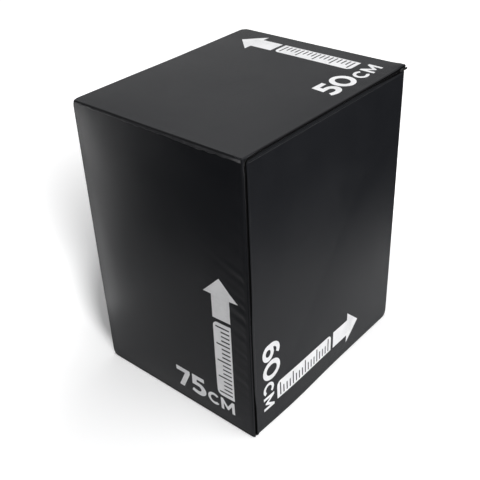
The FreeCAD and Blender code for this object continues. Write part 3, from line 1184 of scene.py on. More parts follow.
        def place(u: float, v: float) -> Vector:
            """The place of a crossing on the stuffed box."""
            if u <= wide:
                flat = face.across * u + face.up * v + face.out * face.deep
                return FORM.rounded(flat + MIDDLE)
            along = high - v if face is Face.FRONT else v + high
            return self.on_lip(face, along, min(1.0, u - wide), max(0.0, u - wide - 1.0))

        return self.laid(us, vs, place)

    def on_lip(self, face: Face, along: float, share: float, turn: float) -> Vector:
        """A point of a lip, or of the rolled edge that ends it.

        Args:
            face: the panel's side, front or top.
            along: the distance from the box's top front corner.
            share: how far across the lip.
            turn: how far round the rolled edge, in quarter turns.

        Returns:
            The point on the stuffed box.
        """
        edge, way, radius = ZIP.lip_edge(along)
        angle = turn * math.pi / 2
        flat = Vector((along, 0.0)).lerp(edge - way * radius, share)
        flat = flat + way * (radius * math.sin(angle))
        front = face is Face.FRONT
        depth, run = (flat.y, flat.x) if front else (flat.x, flat.y)
        sharp = Vector((ZIP.x, depth - HALF[1], HEIGHT - run))
        upright = rise(along, 20.0, 20.0) if front else 0.0
        crest = self.hem_rise_at_slider + (self.hem_rise - self.hem_rise_at_slider) * upright
        sink = radius * (1.0 - math.cos(angle))
        return FORM.rounded(sharp) + X * (crest * ease(share) - sink)

    def zip_side(self) -> Shape:
        """The zip side: sewn at the back and bottom, hemmed and rolled at the zip.

        Returns:
            Its shape before it swells.
        """
        inner = ZIP.flap_bend - ZIP.roll
        roll = (inner + ZIP.roll * t * math.pi / 2 for t in self.roll_lines)
        hem = [*self.hem_lines, inner, *roll]
        us = [ZIP.bend_y - d for d in reversed(hem)]
        us += self.lines(ZIP.bend_y, HALF[1], (False, True))
        vs = self.lines(0.0, ZIP.bend_z, (True, False)) + [ZIP.bend_z + d for d in hem]

        def place(y: float, z: float) -> Vector:
            """The place of a crossing on the stuffed box."""
            core = Vector((max(y, ZIP.bend_y), min(z, ZIP.bend_z)))
            away = Vector((y, z)) - core
            past = max(abs(away.x), abs(away.y))
            if past < 1e-6:
                return FORM.rounded(Vector((ZIP.x, y, z)))
            way = away.normalized()
            level = 1.0 - way.x**2
            angle = max(0.0, past - inner) / ZIP.roll
            drop = (self.hem_drop * rise(y, *self.hem_drop_from) - self.hem_over) * level
            back = self.hem_back - self.hem_shut * self.shut(z)
            drop = (drop + back * (1.0 - level)) * ease(past / inner)
            reach = min(past, inner) + ZIP.roll * math.sin(angle) - drop
            sink = ZIP.roll * (1.0 - math.cos(angle))
            crest = self.hem_rise + (self.hem_rise_level - self.hem_rise) * level
            clear = (crest - self.hem_rise_at_slider) * level * rise(past, 3.6, 2.0)
            lift = crest * rise(past, self.stitch_line, 1.6) - clear
            sunk = 0.3 * hump(past - self.stitch_line, 0.45)
            flat = core + way * reach
            return FORM.rounded(Vector((ZIP.x, flat.x, flat.y))) + X * (lift - sink - sunk)

        return self.laid(us, vs, place)

    def shut(self, height: float) -> float:
        """How far the flap closes over the upright groove at a height, 0 to 1."""
        return rise(height, *self.shut_from) * rise(height, *self.shut_to)

    def held(self, face: Face, p: Vector) -> bool:
        """Whether a point is held by a seam, by a stiff edge or by the crease.

        Args:
            face: the side of the point's panel.
            p: the point.

        Returns:
            True where the panel can't swell.
        """
        u, v = face.spot(p)
        margin = self.zip_margin if face is Face.ZIP else self.seam_margin
        if face.wide - abs(u) < margin or face.high - abs(v) < margin:
            return True
        return face is Face.ZIP and CREASE.past(p) > -self.crease_margin

    def swell(self) -> None:
        """Lets the panels swell over the foam as pinned cloth under light pressure."""
        soft = [panel for panel in self.panels if panel.crown > 0]
        for panel in soft:
            group = panel.piece.vertex_groups.new(name="held")
            pinned = [i for i, p in enumerate(panel.rest) if self.held(panel.face, p / MM)]
            group.add(pinned, 1.0, "REPLACE")
            cloth = panel.piece.modifiers.new("Swell", "CLOTH")
            cloth.settings.quality = 6
            cloth.settings.mass = 0.4
            cloth.settings.tension_stiffness = cloth.settings.compression_stiffness = 20
            cloth.settings.bending_stiffness = 2.0
            cloth.settings.vertex_group_mass = "held"
            cloth.settings.use_pressure = True
            cloth.settings.uniform_pressure_force = 1.5
            cloth.settings.effector_weights.gravity = 0.0
            cloth.point_cache.frame_end = self.frames
        scene = bpy.context.scene
        for number in range(1, self.frames + 1):
            scene.frame_set(number)
        shapes = bpy.context.evaluated_depsgraph_get()
        for panel in soft:
            moved = panel.piece.evaluated_get(shapes).to_mesh()
            lifts = [(v.co - p).dot(panel.face.out) for v, p in zip(moved.vertices, panel.rest)]
            share = panel.crown * MM / max(max(lifts), 1e-9)
            LOG.info("%s swells %.2f mm, kept to %.1f", panel.name, max(lifts) / MM, panel.crown)
            for vert, p, lift in zip(panel.piece.data.vertices, panel.rest, lifts):
                vert.co = p + panel.face.out * (lift * share)
            panel.piece.evaluated_get(shapes).to_mesh_clear()
        for panel in soft:
            panel.piece.modifiers.clear()
            panel.piece.vertex_groups.clear()
        scene.frame_set(1)

    def creased(self, face: Face, p: Vector) -> float:
        """How far puckers, the seam strip and pulls lift a point of a panel.

        Args:
            face: the side of the point's panel.
            p: the point, in millimetres.

        Returns:
            The lift, in millimetres.
        """
        u, v = face.spot(p)
        wide, high = face.wide, face.high
        lift, fill = 0.0, 1.0
        sides = ((wide - u, v), (wide + u, v), (high - v, u), (high + v, u))
        for number, (off, along) in enumerate(sides, 1):
            fill *= 1.0 - math.exp(-max(0.0, off - self.pull_from) / self.pull_reach)
            if off > 0:
                seed = number * 7.1 + face.out.x + 3 * face.out.y
                near = math.exp(-off / self.pucker_reach) * rise(off, *self.pucker_from)
                lift += self.pucker * ripple(along / self.pucker_length, seed) * near
        if face is not Face.ZIP:
            lift += self.seam_pull * fill * (self.top_pull_share if face is Face.TOP else 1.0)
        if face is Face.FRONT:
            off = wide - u
            pull = hump(p.z - self.zip_pull_at, self.zip_pull_height)
            pull *= math.exp(-max(0.0, off) / self.zip_pull_reach) * rise(off, *self.zip_pull_from)
            along = (v + self.zip_pull_slant * u) / self.zip_pull_length
            lift += self.zip_pull * pull * ripple(along, 21.0)
        if face in (Face.FRONT, Face.LEFT, Face.BACK):
            lift += STRIP.lift(face, u, high - v)
        return lift

    def from_bend(self, p: Vector) -> Pair:
        """A point's radius round the zip's bend, and its distance from the top front corner."""
        away = Vector((p.y - max(p.y, ZIP.bend_y), p.z - min(p.z, ZIP.bend_z)))
        return away.length, max(HEIGHT - p.z, p.y + HALF[1])

    def to_edge(self, p: Vector) -> float:
        """How far a point of the box's skin is from the nearest edge of the box."""
        return sorted(abs(h - abs(c)) for h, c in zip(HALF, p - MIDDLE))[1]

    def folded(self, p: Vector) -> float:
        """How much painted highlight, with polish, a point gets where edges, the rolled lip and the
        front's strip catch light.

        Args:
            p: the point, in millimetres.

        Returns:
            0 on flat vinyl, 1 on the rolled lip beside the zip's bend.
        """
        fold = self.edge_polish * hump(self.to_edge(p), self.edge_polish_width)
        # painted highlight line along the rolled lip beside the zip, brightest near the bend
        if p.x > ZIP.x - 3.0:
            past, along = self.from_bend(p)
            far, near = self.lip_polish
            lit = far + near * hump(along, self.lip_polish_reach)
            off = past - ZIP.lip_bend - self.lip_polish_at
            return max(fold, lit * hump(off, self.lip_polish_width))
        return max(fold, STRIP.polish(p))

    def shaded(self, face: Face, p: Vector) -> float:
        """How much painted shade darkens a point in a seam, in the zip's groove and on the lip over
        it, where little light gets.

        Args:
            face: the side of the point's panel.
            p: the point, in millimetres.

        Returns:
            0 in the open, 1 in a seam or in the groove.
        """
        past, along = self.from_bend(p)
        if p.x > ZIP.x - 6.0 and past > 5.0:
            turn, edge = self.groove_turn, self.groove_edge
            level = rise(along, *self.groove_level_from) * rise(p.z, ZIP.bend_z, turn)
            upright = rise(along, *self.groove_upright_from) * rise(p.y, ZIP.bend_y, -turn)
            shut = self.shut(p.z) * upright
            over = self.hem_over - self.hem_drop * rise(p.y, *self.hem_drop_from)
            low = ZIP.flap_bend - 0.9 + level * over
            low += self.hem_shut * shut - self.hem_back * upright
            high = ZIP.lip_bend + 0.3 + upright
            groove = rise(past, low, edge) * rise(past, high, -edge) * (1.0 - 0.5 * shut)
            lip = self.lip_shade * level * rise(past, ZIP.lip_bend, edge)
            return max(groove, lip * rise(p.z, HEIGHT - 0.7, -0.6))
        # painted shade along every sewn seam; on the front also under the top seam and at the foot
        seam = hump(self.to_edge(p), self.seam_shade_width)
        if face is Face.FRONT:
            (foot, foot_width), (top, top_width) = self.foot_shade, self.top_shade
            under_top = self.top_shade_depth * hump(HEIGHT - p.z - top, top_width)
            under_top *= rise(p.x, ZIP.x - 12.0, -8.0)
            seam = max(seam, hump(p.z - foot, foot_width), under_top)
        return seam

    def build(self) -> None:
        """Lays, swells, creases and hems every panel, and puts it on its body."""
        for panel in self.panels:
            bm = self.zip_side() if panel.face is Face.ZIP else self.sewn(panel)
            panel.piece = finished(panel.name, bm, VINYL, BACKING, sharp=180.0)
            panel.rest = [v.co.copy() for v in panel.piece.data.vertices]
        self.swell()
        for panel in self.panels:
            self.dress(panel)

    def dress(self, panel: Panel) -> None:
        """Args:
            panel: the panel to finish.
        """
        face, mesh = panel.face, panel.piece.data
        bm = bmesh.new()
        bm.from_mesh(mesh)
        bmesh.ops.subdivide_edges(bm, edges=bm.edges[:], cuts=1, use_grid_fill=True)
        if face is not Face.BOTTOM:
            for vert in bm.verts:
                vert.co += face.out * (self.creased(face, vert.co / MM) * MM)
        if face is Face.ZIP:
            CREASE.cut(bm, MM)
        bm.to_mesh(mesh)
        bm.free()
        mesh.shade_smooth()
        points = [v.co / MM for v in mesh.vertices]
        # the painted highlight and painted shade, kept on each corner for the vinyl's colour
        for name, values in (
            (POLISH_AND_HIGHLIGHT, [self.folded(p) for p in points]),
            (PAINTED_SHADE, [self.shaded(face, p) for p in points]),
        ):
            mesh.attributes.new(name, "FLOAT", "POINT").data.foreach_set("value", values)
        wall = panel.piece.modifiers.new("Thickness", "SOLIDIFY")
        wall.thickness = self.thickness * MM
        wall.offset = -1.0
        wall.material_offset = 1
        stands_for(panel.piece, "vinyl", panel.nodes, None if face is Face.ZIP else COVER_BODY)

    def piece_on(self, face: Face) -> Piece:
        """The finished panel on a side."""
        return next(panel.piece for panel in self.panels if panel.face is face)


Step = tuple[float, ...]
Outline = list[Pair]

# Outlines on a unit cap height. A step is a point (x, y), or a bow: the middle, the
# two half widths, and the angles in degrees where it starts and ends.
FIGURES: dict[str, tuple[float, list[list[Step]]]] = {
    "7": (0.69, [[
        (0, 1), (0.69, 1), (0.69, 0.83), (0.31, 0), (0.07, 0), (0.44, 0.79), (0, 0.79),
    ]]),
    "5": (0.74, [[
        (0.09, 1), (0.68, 1), (0.68, 0.80), (0.30, 0.80), (0.29, 0.66),
        (0.37, 0.33, 0.37, 0.33, 90, -90), (0.37, 0.42, 0.60, 0.42, -94, -128),
        (0.35, 0.46, 0.43, 0.26, -128, -94), (0.35, 0.335, 0.145, 0.135, -90, 90), (0.05, 0.47),
    ]]),
    "6": (0.77, [[
        (0.44, 0.50, 0.44, 0.50, 58, 180), (0.385, 0.33, 0.385, 0.33, 190, 440),
        (0.44, 0.53, 0.215, 0.28, 160, 62),
    ], [(0.39, 0.325, 0.165, 0.14, 0, 354)]]),
    "0": (0.92, [[(0.46, 0.5, 0.46, 0.5, 0, 354)], [(0.46, 0.5, 0.245, 0.30, 0, 354)]]),
    "C": (0.98, [[(0.5, 0.5, 0.5, 0.5, 42, 318), (0.5, 0.5, 0.285, 0.285, 318, 42)]]),
    "M": (1.07, [[
        (0, 0), (0, 1), (0.18, 1), (0.535, 0.44), (0.89, 1), (1.07, 1), (1.07, 0),
        (0.86, 0), (0.86, 0.60), (0.58, 0.15), (0.49, 0.15), (0.21, 0.60), (0.21, 0),
    ]]),
}


@dataclass(frozen=True)
class Marking:
    """One side's print: its figures, and where their baseline ends."""

    name: str
    figures: str
    face: Face
    end: Vector
    reading: Vector
    rising: Vector
    length: float
    axis: float
    foot: float


@dataclass
class Prints:
    """The printed height, arrow and graduated bar on the three marked sides."""

    figure_height: float = 63.5
    unit_height: float = 38.5
    gap: float = 3.0
    unit_gap: float = 6.0
    bow_step: float = 6.0
    half_width: float = 26.0
    bar: Pair = (55.0, 281.0)
    bar_corner: float = 14.0
    shaft: Pair = (291.0, 355.0)
    head: Pair = (49.5, 406.0)
    ticks: int = 17
    long_tick_every: int = 4
    tick_lengths: Pair = (40.0, 25.0)
    tick_half: float = 2.1
    tick_margin: float = 5.0
    lift: float = 0.12
    film: float = 0.1
    cut: float = 9.0
    markings: tuple[Marking, ...] = (
        Marking("print_front", "75CM", Face.FRONT, Vector((196, -300, 42.5)), X, Z,
                188.5, -23.6, -8.0),
        Marking("print_zip_side", "60CM", Face.ZIP, Vector((250, -259, 54)), -Z, Y,
                194.5, -32.5, -4.5),
        Marking("print_top", "50CM", Face.TOP, Vector((219, 253, 750)), Y, -X,
                205.0, -31.0, 3.0),
    )

    def outline(self, steps: Sequence[Step]) -> Outline:
        """The points of one closed outline.

        Args:
            steps: points and bows.

        Returns:
            The points in order.
        """
        points: Outline = []
        for step in steps:
            if len(step) == 2:
                points.append((step[0], step[1]))
                continue
            x, y, wide, high, start, end = step
            count = max(3, round(abs(end - start) / self.bow_step))
            for k in range(count + 1):
                a = math.radians(start + (end - start) * k / count)
                points.append((x + wide * math.cos(a), y + high * math.sin(a)))
        return points

    def row(self, marking: Marking) -> list[Outline]:
        """The outlines of the figures and their unit, ending at 0 on the baseline.

        Args:
            marking: which print.

        Returns:
            The outlines, in millimetres.
        """
        outlines, x = [], 0.0
        for sign, following in zip(marking.figures, marking.figures[1:] + " "):
            height = self.figure_height if sign.isdigit() else self.unit_height
            gap = self.unit_gap if sign.isdigit() and following.isalpha() else self.gap
            width, shapes = FIGURES[sign]
            for steps in shapes:
                outlines.append([(x + u * height, v * height) for u, v in self.outline(steps)])
            x += width * height + gap
        squeeze = marking.length / (x - self.gap)
        return [[(u * squeeze - marking.length, v) for u, v in line] for line in outlines]

    def column(self, marking: Marking) -> list[Outline]:
        """The outlines of the graduated bar and of the arrow above it.

        Args:
            marking: which print.

        Returns:
            The outlines, in millimetres.
        """
        axis, foot, bend, half = marking.axis, marking.foot, self.bar_corner, self.tick_half
        low, high = (foot + h for h in self.bar)
        left, right = axis - self.half_width, axis + self.half_width
        outlines = [self.outline([
            (right, low), (right, high),
            (left + bend, high - bend, bend, bend, 90, 180),
            (left + bend, low + bend, bend, bend, 180, 270),
        ])]
        end = right - self.tick_margin
        for k in range(self.ticks):
            at = low + (high - low) * (k + 1) / (self.ticks + 1)
            start = end - self.tick_lengths[1 if k % self.long_tick_every else 0]
            below, above = at - half, at + half
            outlines.append([(start, below), (end, below), (end, above), (start, above)])
        wide, tip = self.head[0], foot + self.head[1]
        start, neck = (foot + h for h in self.shaft)
        outlines.append([
            (left, start), (right, start), (right, neck), (axis + wide, neck), (axis, tip),
            (axis - wide, neck), (left, neck),
        ])
        return outlines

    def build(self, cover: Cover) -> None:
        """Prints the three marked sides.

        Args:
            cover: the finished cover, which carries the ink.
        """
        for marking in self.markings:
            curve = bpy.data.curves.new(marking.name, "CURVE")
            curve.dimensions, curve.fill_mode = "2D", "BOTH"
            for points in self.row(marking) + self.column(marking):
                spline = curve.splines.new("POLY")
                spline.points.add(len(points) - 1)
                for point, (u, v) in zip(spline.points, points):
                    point.co = (u, v, 0.0, 1.0)
                spline.use_cyclic_u = True
            holder = bpy.data.objects.new("print_outline", curve)
            flat = bpy.data.meshes.new_from_object(holder)
            bm = bmesh.new()
            bm.from_mesh(flat)
            bpy.data.objects.remove(holder)
            bpy.data.curves.remove(curve)
            bpy.data.meshes.remove(flat)
            self.lay(bm, marking, cover)

    def lay(self, bm: Shape, marking: Marking, cover: Cover) -> None:
        """Lays a flat print on its panel.

        Args:
            bm: the print's filled outlines.
            marking: which print.
            cover: the cover that carries it.
        """
        face, out = marking.face, marking.face.out
        bmesh.ops.remove_doubles(bm, verts=bm.verts[:], dist=0.01)
        cut_fine(bm, (X, Y), self.cut)
        place = Matrix((marking.reading, marking.rising, out)).transposed().to_4x4()
        place.translation = marking.end
        bmesh.ops.transform(bm, matrix=place, verts=bm.verts[:])
        if face is Face.ZIP:
            CREASE.cut(bm, 1.0)
        bmesh.ops.recalc_face_normals(bm, faces=bm.faces[:])
        if sum(f.normal.dot(out) for f in bm.faces) < 0:
            bmesh.ops.reverse_faces(bm, faces=bm.faces[:])
        for vert in bm.verts:
            vert.co += out * self.lift
        lay_on(bm, surface_of(cover.piece_on(face)), out, marking.end.dot(out))
        film = bmesh.ops.extrude_face_region(bm, geom=bm.faces[:], use_keep_orig=True)["geom"]
        for vert in film:
            if isinstance(vert, bmesh.types.BMVert):
                vert.co += out * self.film
        bmesh.ops.recalc_face_normals(bm, faces=bm.faces[:])
        piece = finished(marking.name, bm, INK)
        stands_for(piece, "vinyl", (), None if face is Face.ZIP else COVER_BODY)


@dataclass
class ZipFastener:
    """The zip: two tapes, two rows of coil, slider, pull, end stops and its sewing."""

    tape_x: Pair = (248.3, 249.0)
    tape_edge: float = 0.2
    tape_step: float = 9.0
    cover_tape: Pair = (12.7, 17.7)
    flap_tape: Pair = (2.0, 11.3)
    cover_row: Pair = (11.8, 14.6)
    flap_row: Pair = (9.4, 12.2)
    tooth_x: Pair = (249.0, 249.85)
    tooth_width: float = 0.86
    pitch: float = 2.0
    row_ends: Pair = (7.0, 292.5)
    bar_rounding: float = 0.3
    stitch: tuple[float, float, float] = (0.34, 0.55, 3.1)
    stitch_lift: float = 0.05
    stitch_pitch: float = 4.4
    stitch_radius: float = 1.5
    stitch_ends: Pair = (8.0, 291.0)
    castings: tuple[tuple[str, str, float], ...] = (
        ("upper_end_stop", COVER_BODY, 0.18), ("lower_end_stop", COVER_BODY, 0.18),
        ("zip_slider", "slider", 0.28), ("slider_pull", "pull", 0.25),
    )

    def tape(self, name: str, band: Pair) -> Piece:
        """A tape with softly rounded edges, drawn up, round the bend and back.

        Args:
            name: the piece's name.
            band: its inner and outer radius round the bend.

        Returns:
            The tape.
        """
        (low, high), (inner, outer), soft = self.tape_x, band, self.tape_edge
        corners = [
            (low, inner + soft), (low, outer - soft), (low + soft, outer), (high - soft, outer),
            (high, outer - soft), (high, inner + soft), (high - soft, inner), (low + soft, inner),
        ]
        bm = bmesh.new()
        section = [bm.verts.new((x, ZIP.bend_y - r, ZIP.bottom)) for x, r in corners]
        geom = [bm.faces.new(section)]
        up, back = ZIP.bend_z - ZIP.bottom, ZIP.rear - ZIP.bend_y
        legs = (
            (Z * up, 0.0, round(up / self.tape_step)),
            (Vector(), math.pi / 2, 10),
            (Y * back, 0.0, round(back / self.tape_step)),
        )
        for way, angle, count in legs:
            made = bmesh.ops.spin(
                bm, geom=geom, cent=ZIP.centre, axis=-X, angle=angle, dvec=way / count, steps=count
            )
            geom = made["geom_last"]
        bmesh.ops.recalc_face_normals(bm, faces=bm.faces[:])
        return finished(name, bm, TAPE, sharp=60.0)

    def repeated(
        self, size: Sequence[float], middle: Pair, pitch: float, ends: Pair, shift: float
    ) -> Shape:
        """A small rounded bar again and again along the zip.

        Args:
            size: the bar's length along x, y and z on the upright run.
            middle: its x, and its radius round the bend.
            pitch: the distance between bars.
            ends: where the row starts in height, and where it ends at the back.
            shift: how far along its run each first bar is moved.

        Returns:
            The row's shape.
        """
        whole = bmesh.new()
        x, radius = middle
        quarter = math.pi / 2
        up, back = ZIP.bend_z - ends[0] - shift, ends[1] - ZIP.bend_y - shift
        legs = (
            (0.0, Z * -up, up, 0.0, Z * pitch),
            (0.0, Vector(), radius * quarter, quarter, Vector()),
            (quarter, Y * shift, back, 0.0, Y * pitch),
        )
        for turned, start, length, angle, way in legs:
            bm = bmesh.new()
            bmesh.ops.create_cube(bm, size=1.0)
            bmesh.ops.scale(bm, vec=size, verts=bm.verts[:])
            soften(bm, bm.edges[:], min(size) * self.bar_rounding, 1)
            first = Vector((x, ZIP.bend_y - radius, ZIP.bend_z))
            bmesh.ops.translate(bm, vec=first, verts=bm.verts[:])
            turn = Matrix.Rotation(-turned, 3, "X")
            bmesh.ops.rotate(bm, cent=ZIP.centre, matrix=turn, verts=bm.verts[:])
            bmesh.ops.translate(bm, vec=start, verts=bm.verts[:])
            bmesh.ops.spin(
                bm, geom=bm.verts[:] + bm.edges[:] + bm.faces[:], cent=ZIP.centre, axis=-X,
                angle=angle, steps=int(length / pitch), dvec=way, use_duplicate=True,
            )
            leg = bpy.data.meshes.new("leg")
            bm.to_mesh(leg)
            bm.free()
            whole.from_mesh(leg)
            bpy.data.meshes.remove(leg)
        return whole

    def row(self, name: str, band: Pair, shift: float) -> Piece:
        """One side's coil, as closed turns that stand across the tape.

        Args:
            name: the piece's name.
            band: the inner and outer radius of the turns round the bend.
            shift: how far along the zip its first turn is moved.

        Returns:
            The row.
        """
        low, high = self.tooth_x
        size = (high - low, band[1] - band[0], self.tooth_width)
        middle = ((low + high) / 2, (band[0] + band[1]) / 2)
        bm = self.repeated(size, middle, self.pitch, self.row_ends, shift)
        return finished(name, bm, COIL, sharp=70.0)

    def sewing(self, cover: Cover) -> Piece:
        """The row of stitches that holds the flap's hem to its tape.

        Args:
            cover: the finished cover, which the stitches lie on.

        Returns:
            The stitches.
        """
        middle = (ZIP.x + self.stitch_lift, self.stitch_radius)
        bm = self.repeated(self.stitch, middle, self.stitch_pitch, self.stitch_ends, 0.0)
        lay_on(bm, surface_of(cover.piece_on(Face.ZIP)), X, ZIP.x)
        return finished("flap_stitches", bm, THREAD, sharp=70.0)

    def build(self, cover: Cover) -> None:
        """Builds the zip and puts each piece on its body.

        Args:
            cover: the finished cover.
        """
        for piece, slot, nodes, body in (
            (self.tape("cover_side_tape", self.cover_tape), "zip_tape",
             ("cover_zip_tape",), COVER_BODY),
            (self.tape("flap_side_tape", self.flap_tape), "zip_tape",
             ("flap_zip_tape", "lower_tape_tail", "upper_tape_tail"), None),
            (self.row("cover_side_coil", self.cover_row, 0.0), "zip_coil",
             ("cover_zip_coil",), COVER_BODY),
            (self.row("flap_side_coil", self.flap_row, self.pitch / 2), "zip_coil",
             ("flap_zip_coil", "lower_coil_tail", "upper_coil_tail"), None),
            (self.sewing(cover), "zip_tape", (), None),
        ):
            stands_for(piece, slot, nodes, body)
        for node, body, width in self.castings:
            piece = finished(node + "_cast", softened(node, width), GUNMETAL, sharp=40.0)
            stands_for(piece, "zip_metal", (node,), body)


@dataclass
class FoamBlock:
    """The foam inside: six soft pads round a core of stiff planks."""

    pads: tuple[str, ...] = ("top", "bottom", "front", "back", "left", "right")
    planks: int = 7
    pad_round: float = 3.0
    plank_round: float = 1.2
    cut: float = 30.0
    dip: float = 0.6
    dip_length: float = 45.0

    def block(self, node: str, rounding: float, finish: Finish, slot: str) -> None:
        """One cut block of foam with softened edges and an uneven skin.

        Args:
            node: the CAD node that it replaces.
            rounding: how far back its edges are rounded.
            finish: its finish.
            slot: the record's material slot.
        """
        bm = softened(node, rounding, 3)
        cut_fine(bm, (X, Y, Z), self.cut)
        bmesh.ops.recalc_face_normals(bm, faces=bm.faces[:])
        bm.normal_update()
        for vert in bm.verts:
            hollow = 0.5 + 0.5 * noise.noise(vert.co / self.dip_length)
            vert.co -= vert.normal * (self.dip * hollow)
        piece = finished(node + "_foam", bm, finish, sharp=60.0)
        stands_for(piece, slot, (node,))

    def build(self) -> None:
        """Builds the pads and the planks."""
        for side in self.pads:
            self.block(side + "_pad", self.pad_round, SOFT_FOAM, "soft_foam")
        for number in range(1, self.planks + 1):
            self.block(f"core_plank_{number}", self.plank_round, CORE_FOAM, "core_foam")


@dataclass
class SeamBindings:
    """The folded tapes that bind the seams inside the cover."""

    edges: tuple[str, ...] = (
        "front_left", "back_left", "back_right", "bottom_front", "bottom_back",
        "bottom_left", "bottom_right", "top_front", "top_back", "top_left",
    )
    leg: float = 9.0
    rounding: float = 0.25
    cut: float = 20.0

    def build(self) -> None:
        """Builds the ten bindings."""
        for edge in self.edges:
            node = "binding_" + edge
            bm = softened(node, self.rounding, 1)
            cut_fine(bm, (X, Y, Z), self.cut)
            piece = stands_for(finished(node + "_tape", bm, BINDING), "binding", (node,))


@dataclass(frozen=True)
class Lamp:
    """One soft studio lamp, in metres and watts."""

    name: str
    place: Colour
    aim: Colour
    width: float
    height: float
    power: float
    spread: float = 180.0

    def hang(self) -> None:
        """Hangs the lamp and turns it to its aim."""
        light = bpy.data.lights.new(self.name, "AREA")
        light.shape = "RECTANGLE"
        light.size, light.size_y = self.width, self.height
        light.energy = self.power
        light.spread = math.radians(self.spread)
        holder = bpy.data.objects.new(self.name, light)
        holder.location = self.place
        holder.visible_camera = False
        back = Vector(self.place) - Vector(self.aim)
        holder.rotation_euler = back.to_track_quat("Z", "Y").to_euler()
        bpy.context.scene.collection.objects.link(holder)


@dataclass
class Studio:
    """Pale floor, soft light and the camera, in metres."""

    azimuth: float = 41.7456
    elevation: float = 32.8624
    roll: float = -2.6676
    lens: float = 58.333
    sensor: float = 36.0
    distance: float = 1.99859
    aim_right: float = -0.0238
    aim_up: float = -0.04916
    floor_half: float = 7.0
    paper_run: Pair = (-0.66, 7.0)
    paper_spread: Pair = (0.285, 0.272)
    paper_from: float = -2.75
    paper_glow: Pair = (0.42, 0.92)
    glow_from: Vector = Vector((0.4, -0.1, 0.0)).freeze()
    glow_run: Pair = (0.65, 1.15)
    # painted contact shadow: where the paper's glow fades out at the box's foot
    painted_contact_shadow: Pair = (-0.006, 0.003)
    # painted shadow of the box on the paper, on its left
    shadow_at: Vector = Vector((-0.385, -0.221, 0.0)).freeze()
    shadow_way: Vector = Vector((-0.808, 0.589, 0.0)).freeze()
    shadow_depth: float = 0.85
    shadow_fan: Pair = (-0.05, 0.42)
    shadow_foot: Pair = (0.03, 0.2)
    shadow_start: Pair = (-0.2, 0.0)
    shadow_end: Pair = (1.8, 0.3)
    shadow_side: Pair = (0.65, 0.3)
    world_light: float = 0.12
    sky: Pair = (0.85, 0.93)
    sky_run: Pair = (0.25, 0.8)
    lamps: tuple[Lamp, ...] = (
        Lamp("edge_strip", (-0.5, -0.45, 0.315), (-0.25, -0.3, 0.38), 0.075, 0.72, 0.28, 60.0),
        Lamp("overhead", (0.2, 0.2, 3.0), (0.0, 0.0, 0.0), 2.4, 2.4, 42.0),
        Lamp("top_box", (-0.6, 0.5, 1.75), (0.05, -0.2, 0.75), 0.7, 0.7, 2.4),
        Lamp("right_fill", (2.4, 0.4, 1.3), (0.2, 0.0, 0.3), 2.4, 1.6, 39.0),
        Lamp("front_right", (2.1, -1.8, 1.6), (0.0, 0.0, 0.4), 1.6, 1.6, 45.0),
    )

    def build(self) -> None:
        """Sets up the whole studio."""
        bpy.context.scene.view_settings.view_transform = "Standard"
        self.lay_floor()
        self.light_world()
        for lamp in self.lamps:
            lamp.hang()
        self.set_camera()

    def seen_directly(self, w: Wiring) -> Socket:
        """1 for what the camera sees, itself or in a mirror or glass, else 0.

        Args:
            w: the wiring of the floor or the world.

        Returns:
            The socket of that value.
        """
        rays = w.node("LightPath").outputs
        mirrored = w.sums("MAXIMUM", rays["Is Glossy Ray"], rays["Is Transmission Ray"])
        return w.sums("MAXIMUM", rays["Is Camera Ray"], mirrored)

    def lay_floor(self) -> None:
        """Dark studio ground, and on it white paper that glows for the camera and in reflections,
        keeps the lamps' soft shadow of the box, and has a painted shadow on the box's left and a
        painted contact shadow at its foot.
        """
        far = self.floor_half
        corners = [Vector((x, y, 0)) for y in (-far, far) for x in (-far, far)]
        self.lay_sheet(GROUND, corners, 2.0)
        corners = []
        for away in self.paper_run:
            left, right = (share * (away - self.paper_from) for share in self.paper_spread)
            corners += [self.across_floor(-left, away), self.across_floor(right, away)]
        self.lay_sheet(SHEET, corners, 0.5)
        s = Surface(SHEET.material())
        off = s.vectors("DISTANCE", s.at, self.glow_from)["Value"]
        # the painted shadow is taken off the glow
        glow = s.sums("SUBTRACT", s.smooth(off, self.glow_run, self.paper_glow), self.shadow(s))
        # painted contact shadow: the glow fades out at the box's footprint, over the lamps' own
        # contact shadow
        x, y, _ = s.parts(s.at)
        outside = s.sums("MAXIMUM", *(
            s.sums("SUBTRACT", s.sums("ABSOLUTE", at), half * MM) for at, half in zip((x, y), HALF)
        ))
        glow = s.times(s.sums("MAXIMUM", glow, 0.0), s.smooth(outside, self.painted_contact_shadow))
        s.coat(Emission_Color=WHITE, Emission_Strength=s.times(self.seen_directly(s), glow))

    def shadow(self, s: Surface) -> Socket:
        """A painted shadow of the box on the left, taken off the paper's glow: a fan from the box's
        foot that fades behind it.

        Args:
            s: the paper's wiring.

        Returns:
            The socket of the light that is lost.
        """
        aside = Vector((self.shadow_way.y, -self.shadow_way.x, 0.0))
        past = s.vectors("SUBTRACT", s.at, self.shadow_at)[0]
        run, off = (
            s.vectors("DOT_PRODUCT", past, way)["Value"] for way in (self.shadow_way, aside)
        )
        edge, foot = self.shadow_foot
        ahead = s.sums("MAXIMUM", s.sums("ADD", run, foot), 0.02)
        turn = s.sums("DIVIDE", s.sums("SUBTRACT", edge, off), ahead)
        lost = s.smooth(turn, self.shadow_fan, (self.shadow_depth, 0.0))
        for value, ends in (
            (run, self.shadow_start), (run, self.shadow_end), (off, self.shadow_side)
        ):
            lost = s.times(lost, s.smooth(value, ends))
        return lost

    def across_floor(self, right: float, away: float) -> Vector:
        """A floor point by its place to the camera's right and away from the camera."""
        a = math.radians(self.azimuth)
        return Matrix.Rotation(a, 3, "Z") @ Vector((right, away, 0.0))

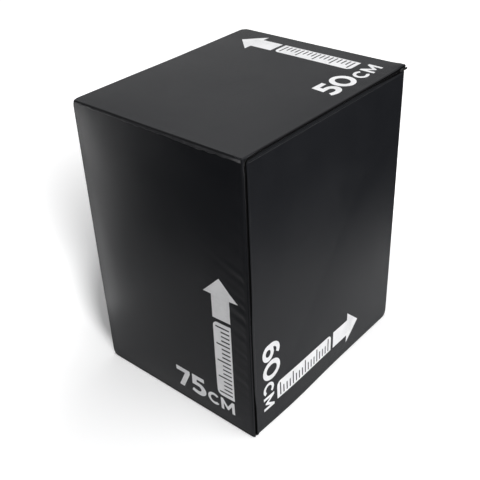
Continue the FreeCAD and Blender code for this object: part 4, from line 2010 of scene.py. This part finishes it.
    def lay_sheet(self, finish: Finish, corners: Sequence[Vector], drop: float) -> None:
        """Lays a flat four-cornered sheet on the studio's ground.

        Args:
            finish: its finish, which also names it.
            corners: near left, near right, far left and far right.
            drop: how far under the box it lies, in millimetres.
        """
        bm = bmesh.new()
        bmesh.ops.create_grid(bm, x_segments=4, y_segments=4, size=0.5)
        for vert in bm.verts:
            u, v = vert.co.x + 0.5, vert.co.y + 0.5
            near, back = corners[0].lerp(corners[1], u), corners[2].lerp(corners[3], u)
            vert.co = near.lerp(back, v) / MM - Z * drop
        finished(finish.name, bm, finish)

    def light_world(self) -> None:
        """A white surround that lights the box a little."""
        world = bpy.data.worlds.new("studio_world")
        bpy.context.scene.world = world
        world.use_nodes = True
        w = Wiring(world.node_tree)
        height = w.parts(w.node("TexCoord").outputs["Generated"])[2]
        level = w.level(self.seen_directly(w), self.world_light, 1.0)
        strength = w.times(level, w.smooth(height, self.sky_run, self.sky))
        w.feed(world.node_tree.nodes["Background"], Color=WHITE, Strength=strength)

    def set_camera(self) -> None:
        """Stands the camera where the photograph was taken from."""
        a, e, r = (math.radians(v) for v in (self.azimuth, self.elevation, self.roll))
        back = Vector((math.sin(a) * math.cos(e), -math.cos(a) * math.cos(e), math.sin(e)))
        level = Vector((math.cos(a), math.sin(a), 0.0))
        upward = back.cross(level)
        right = level * math.cos(r) + upward * math.sin(r)
        top = upward * math.cos(r) - level * math.sin(r)
        camera = bpy.data.objects.new("camera", bpy.data.cameras.new("camera"))
        camera.data.lens, camera.data.sensor_width = self.lens, self.sensor
        place = Matrix((right, top, back)).transposed().to_4x4()
        aim = MIDDLE * MM + level * self.aim_right + upward * self.aim_up
        place.translation = aim + back * self.distance
        camera.matrix_world = place
        bpy.context.scene.collection.objects.link(camera)
        bpy.context.scene.camera = camera


def main() -> None:
    """Builds the box piece by piece, in the order that it is made."""
    logging.basicConfig(level=logging.INFO, format="%(name)s: %(message)s")
    noise.seed_set(NOISE_SEED)  # noise vectors follow the clock until they are seeded
    Studio().build()
    cover = Cover()
    cover.build()
    ZipFastener().build(cover)
    Prints().build(cover)
    FoamBlock().build()
    SeamBindings().build()
    bpy.context.view_layer.update()


if __name__ == "__main__":
    main()
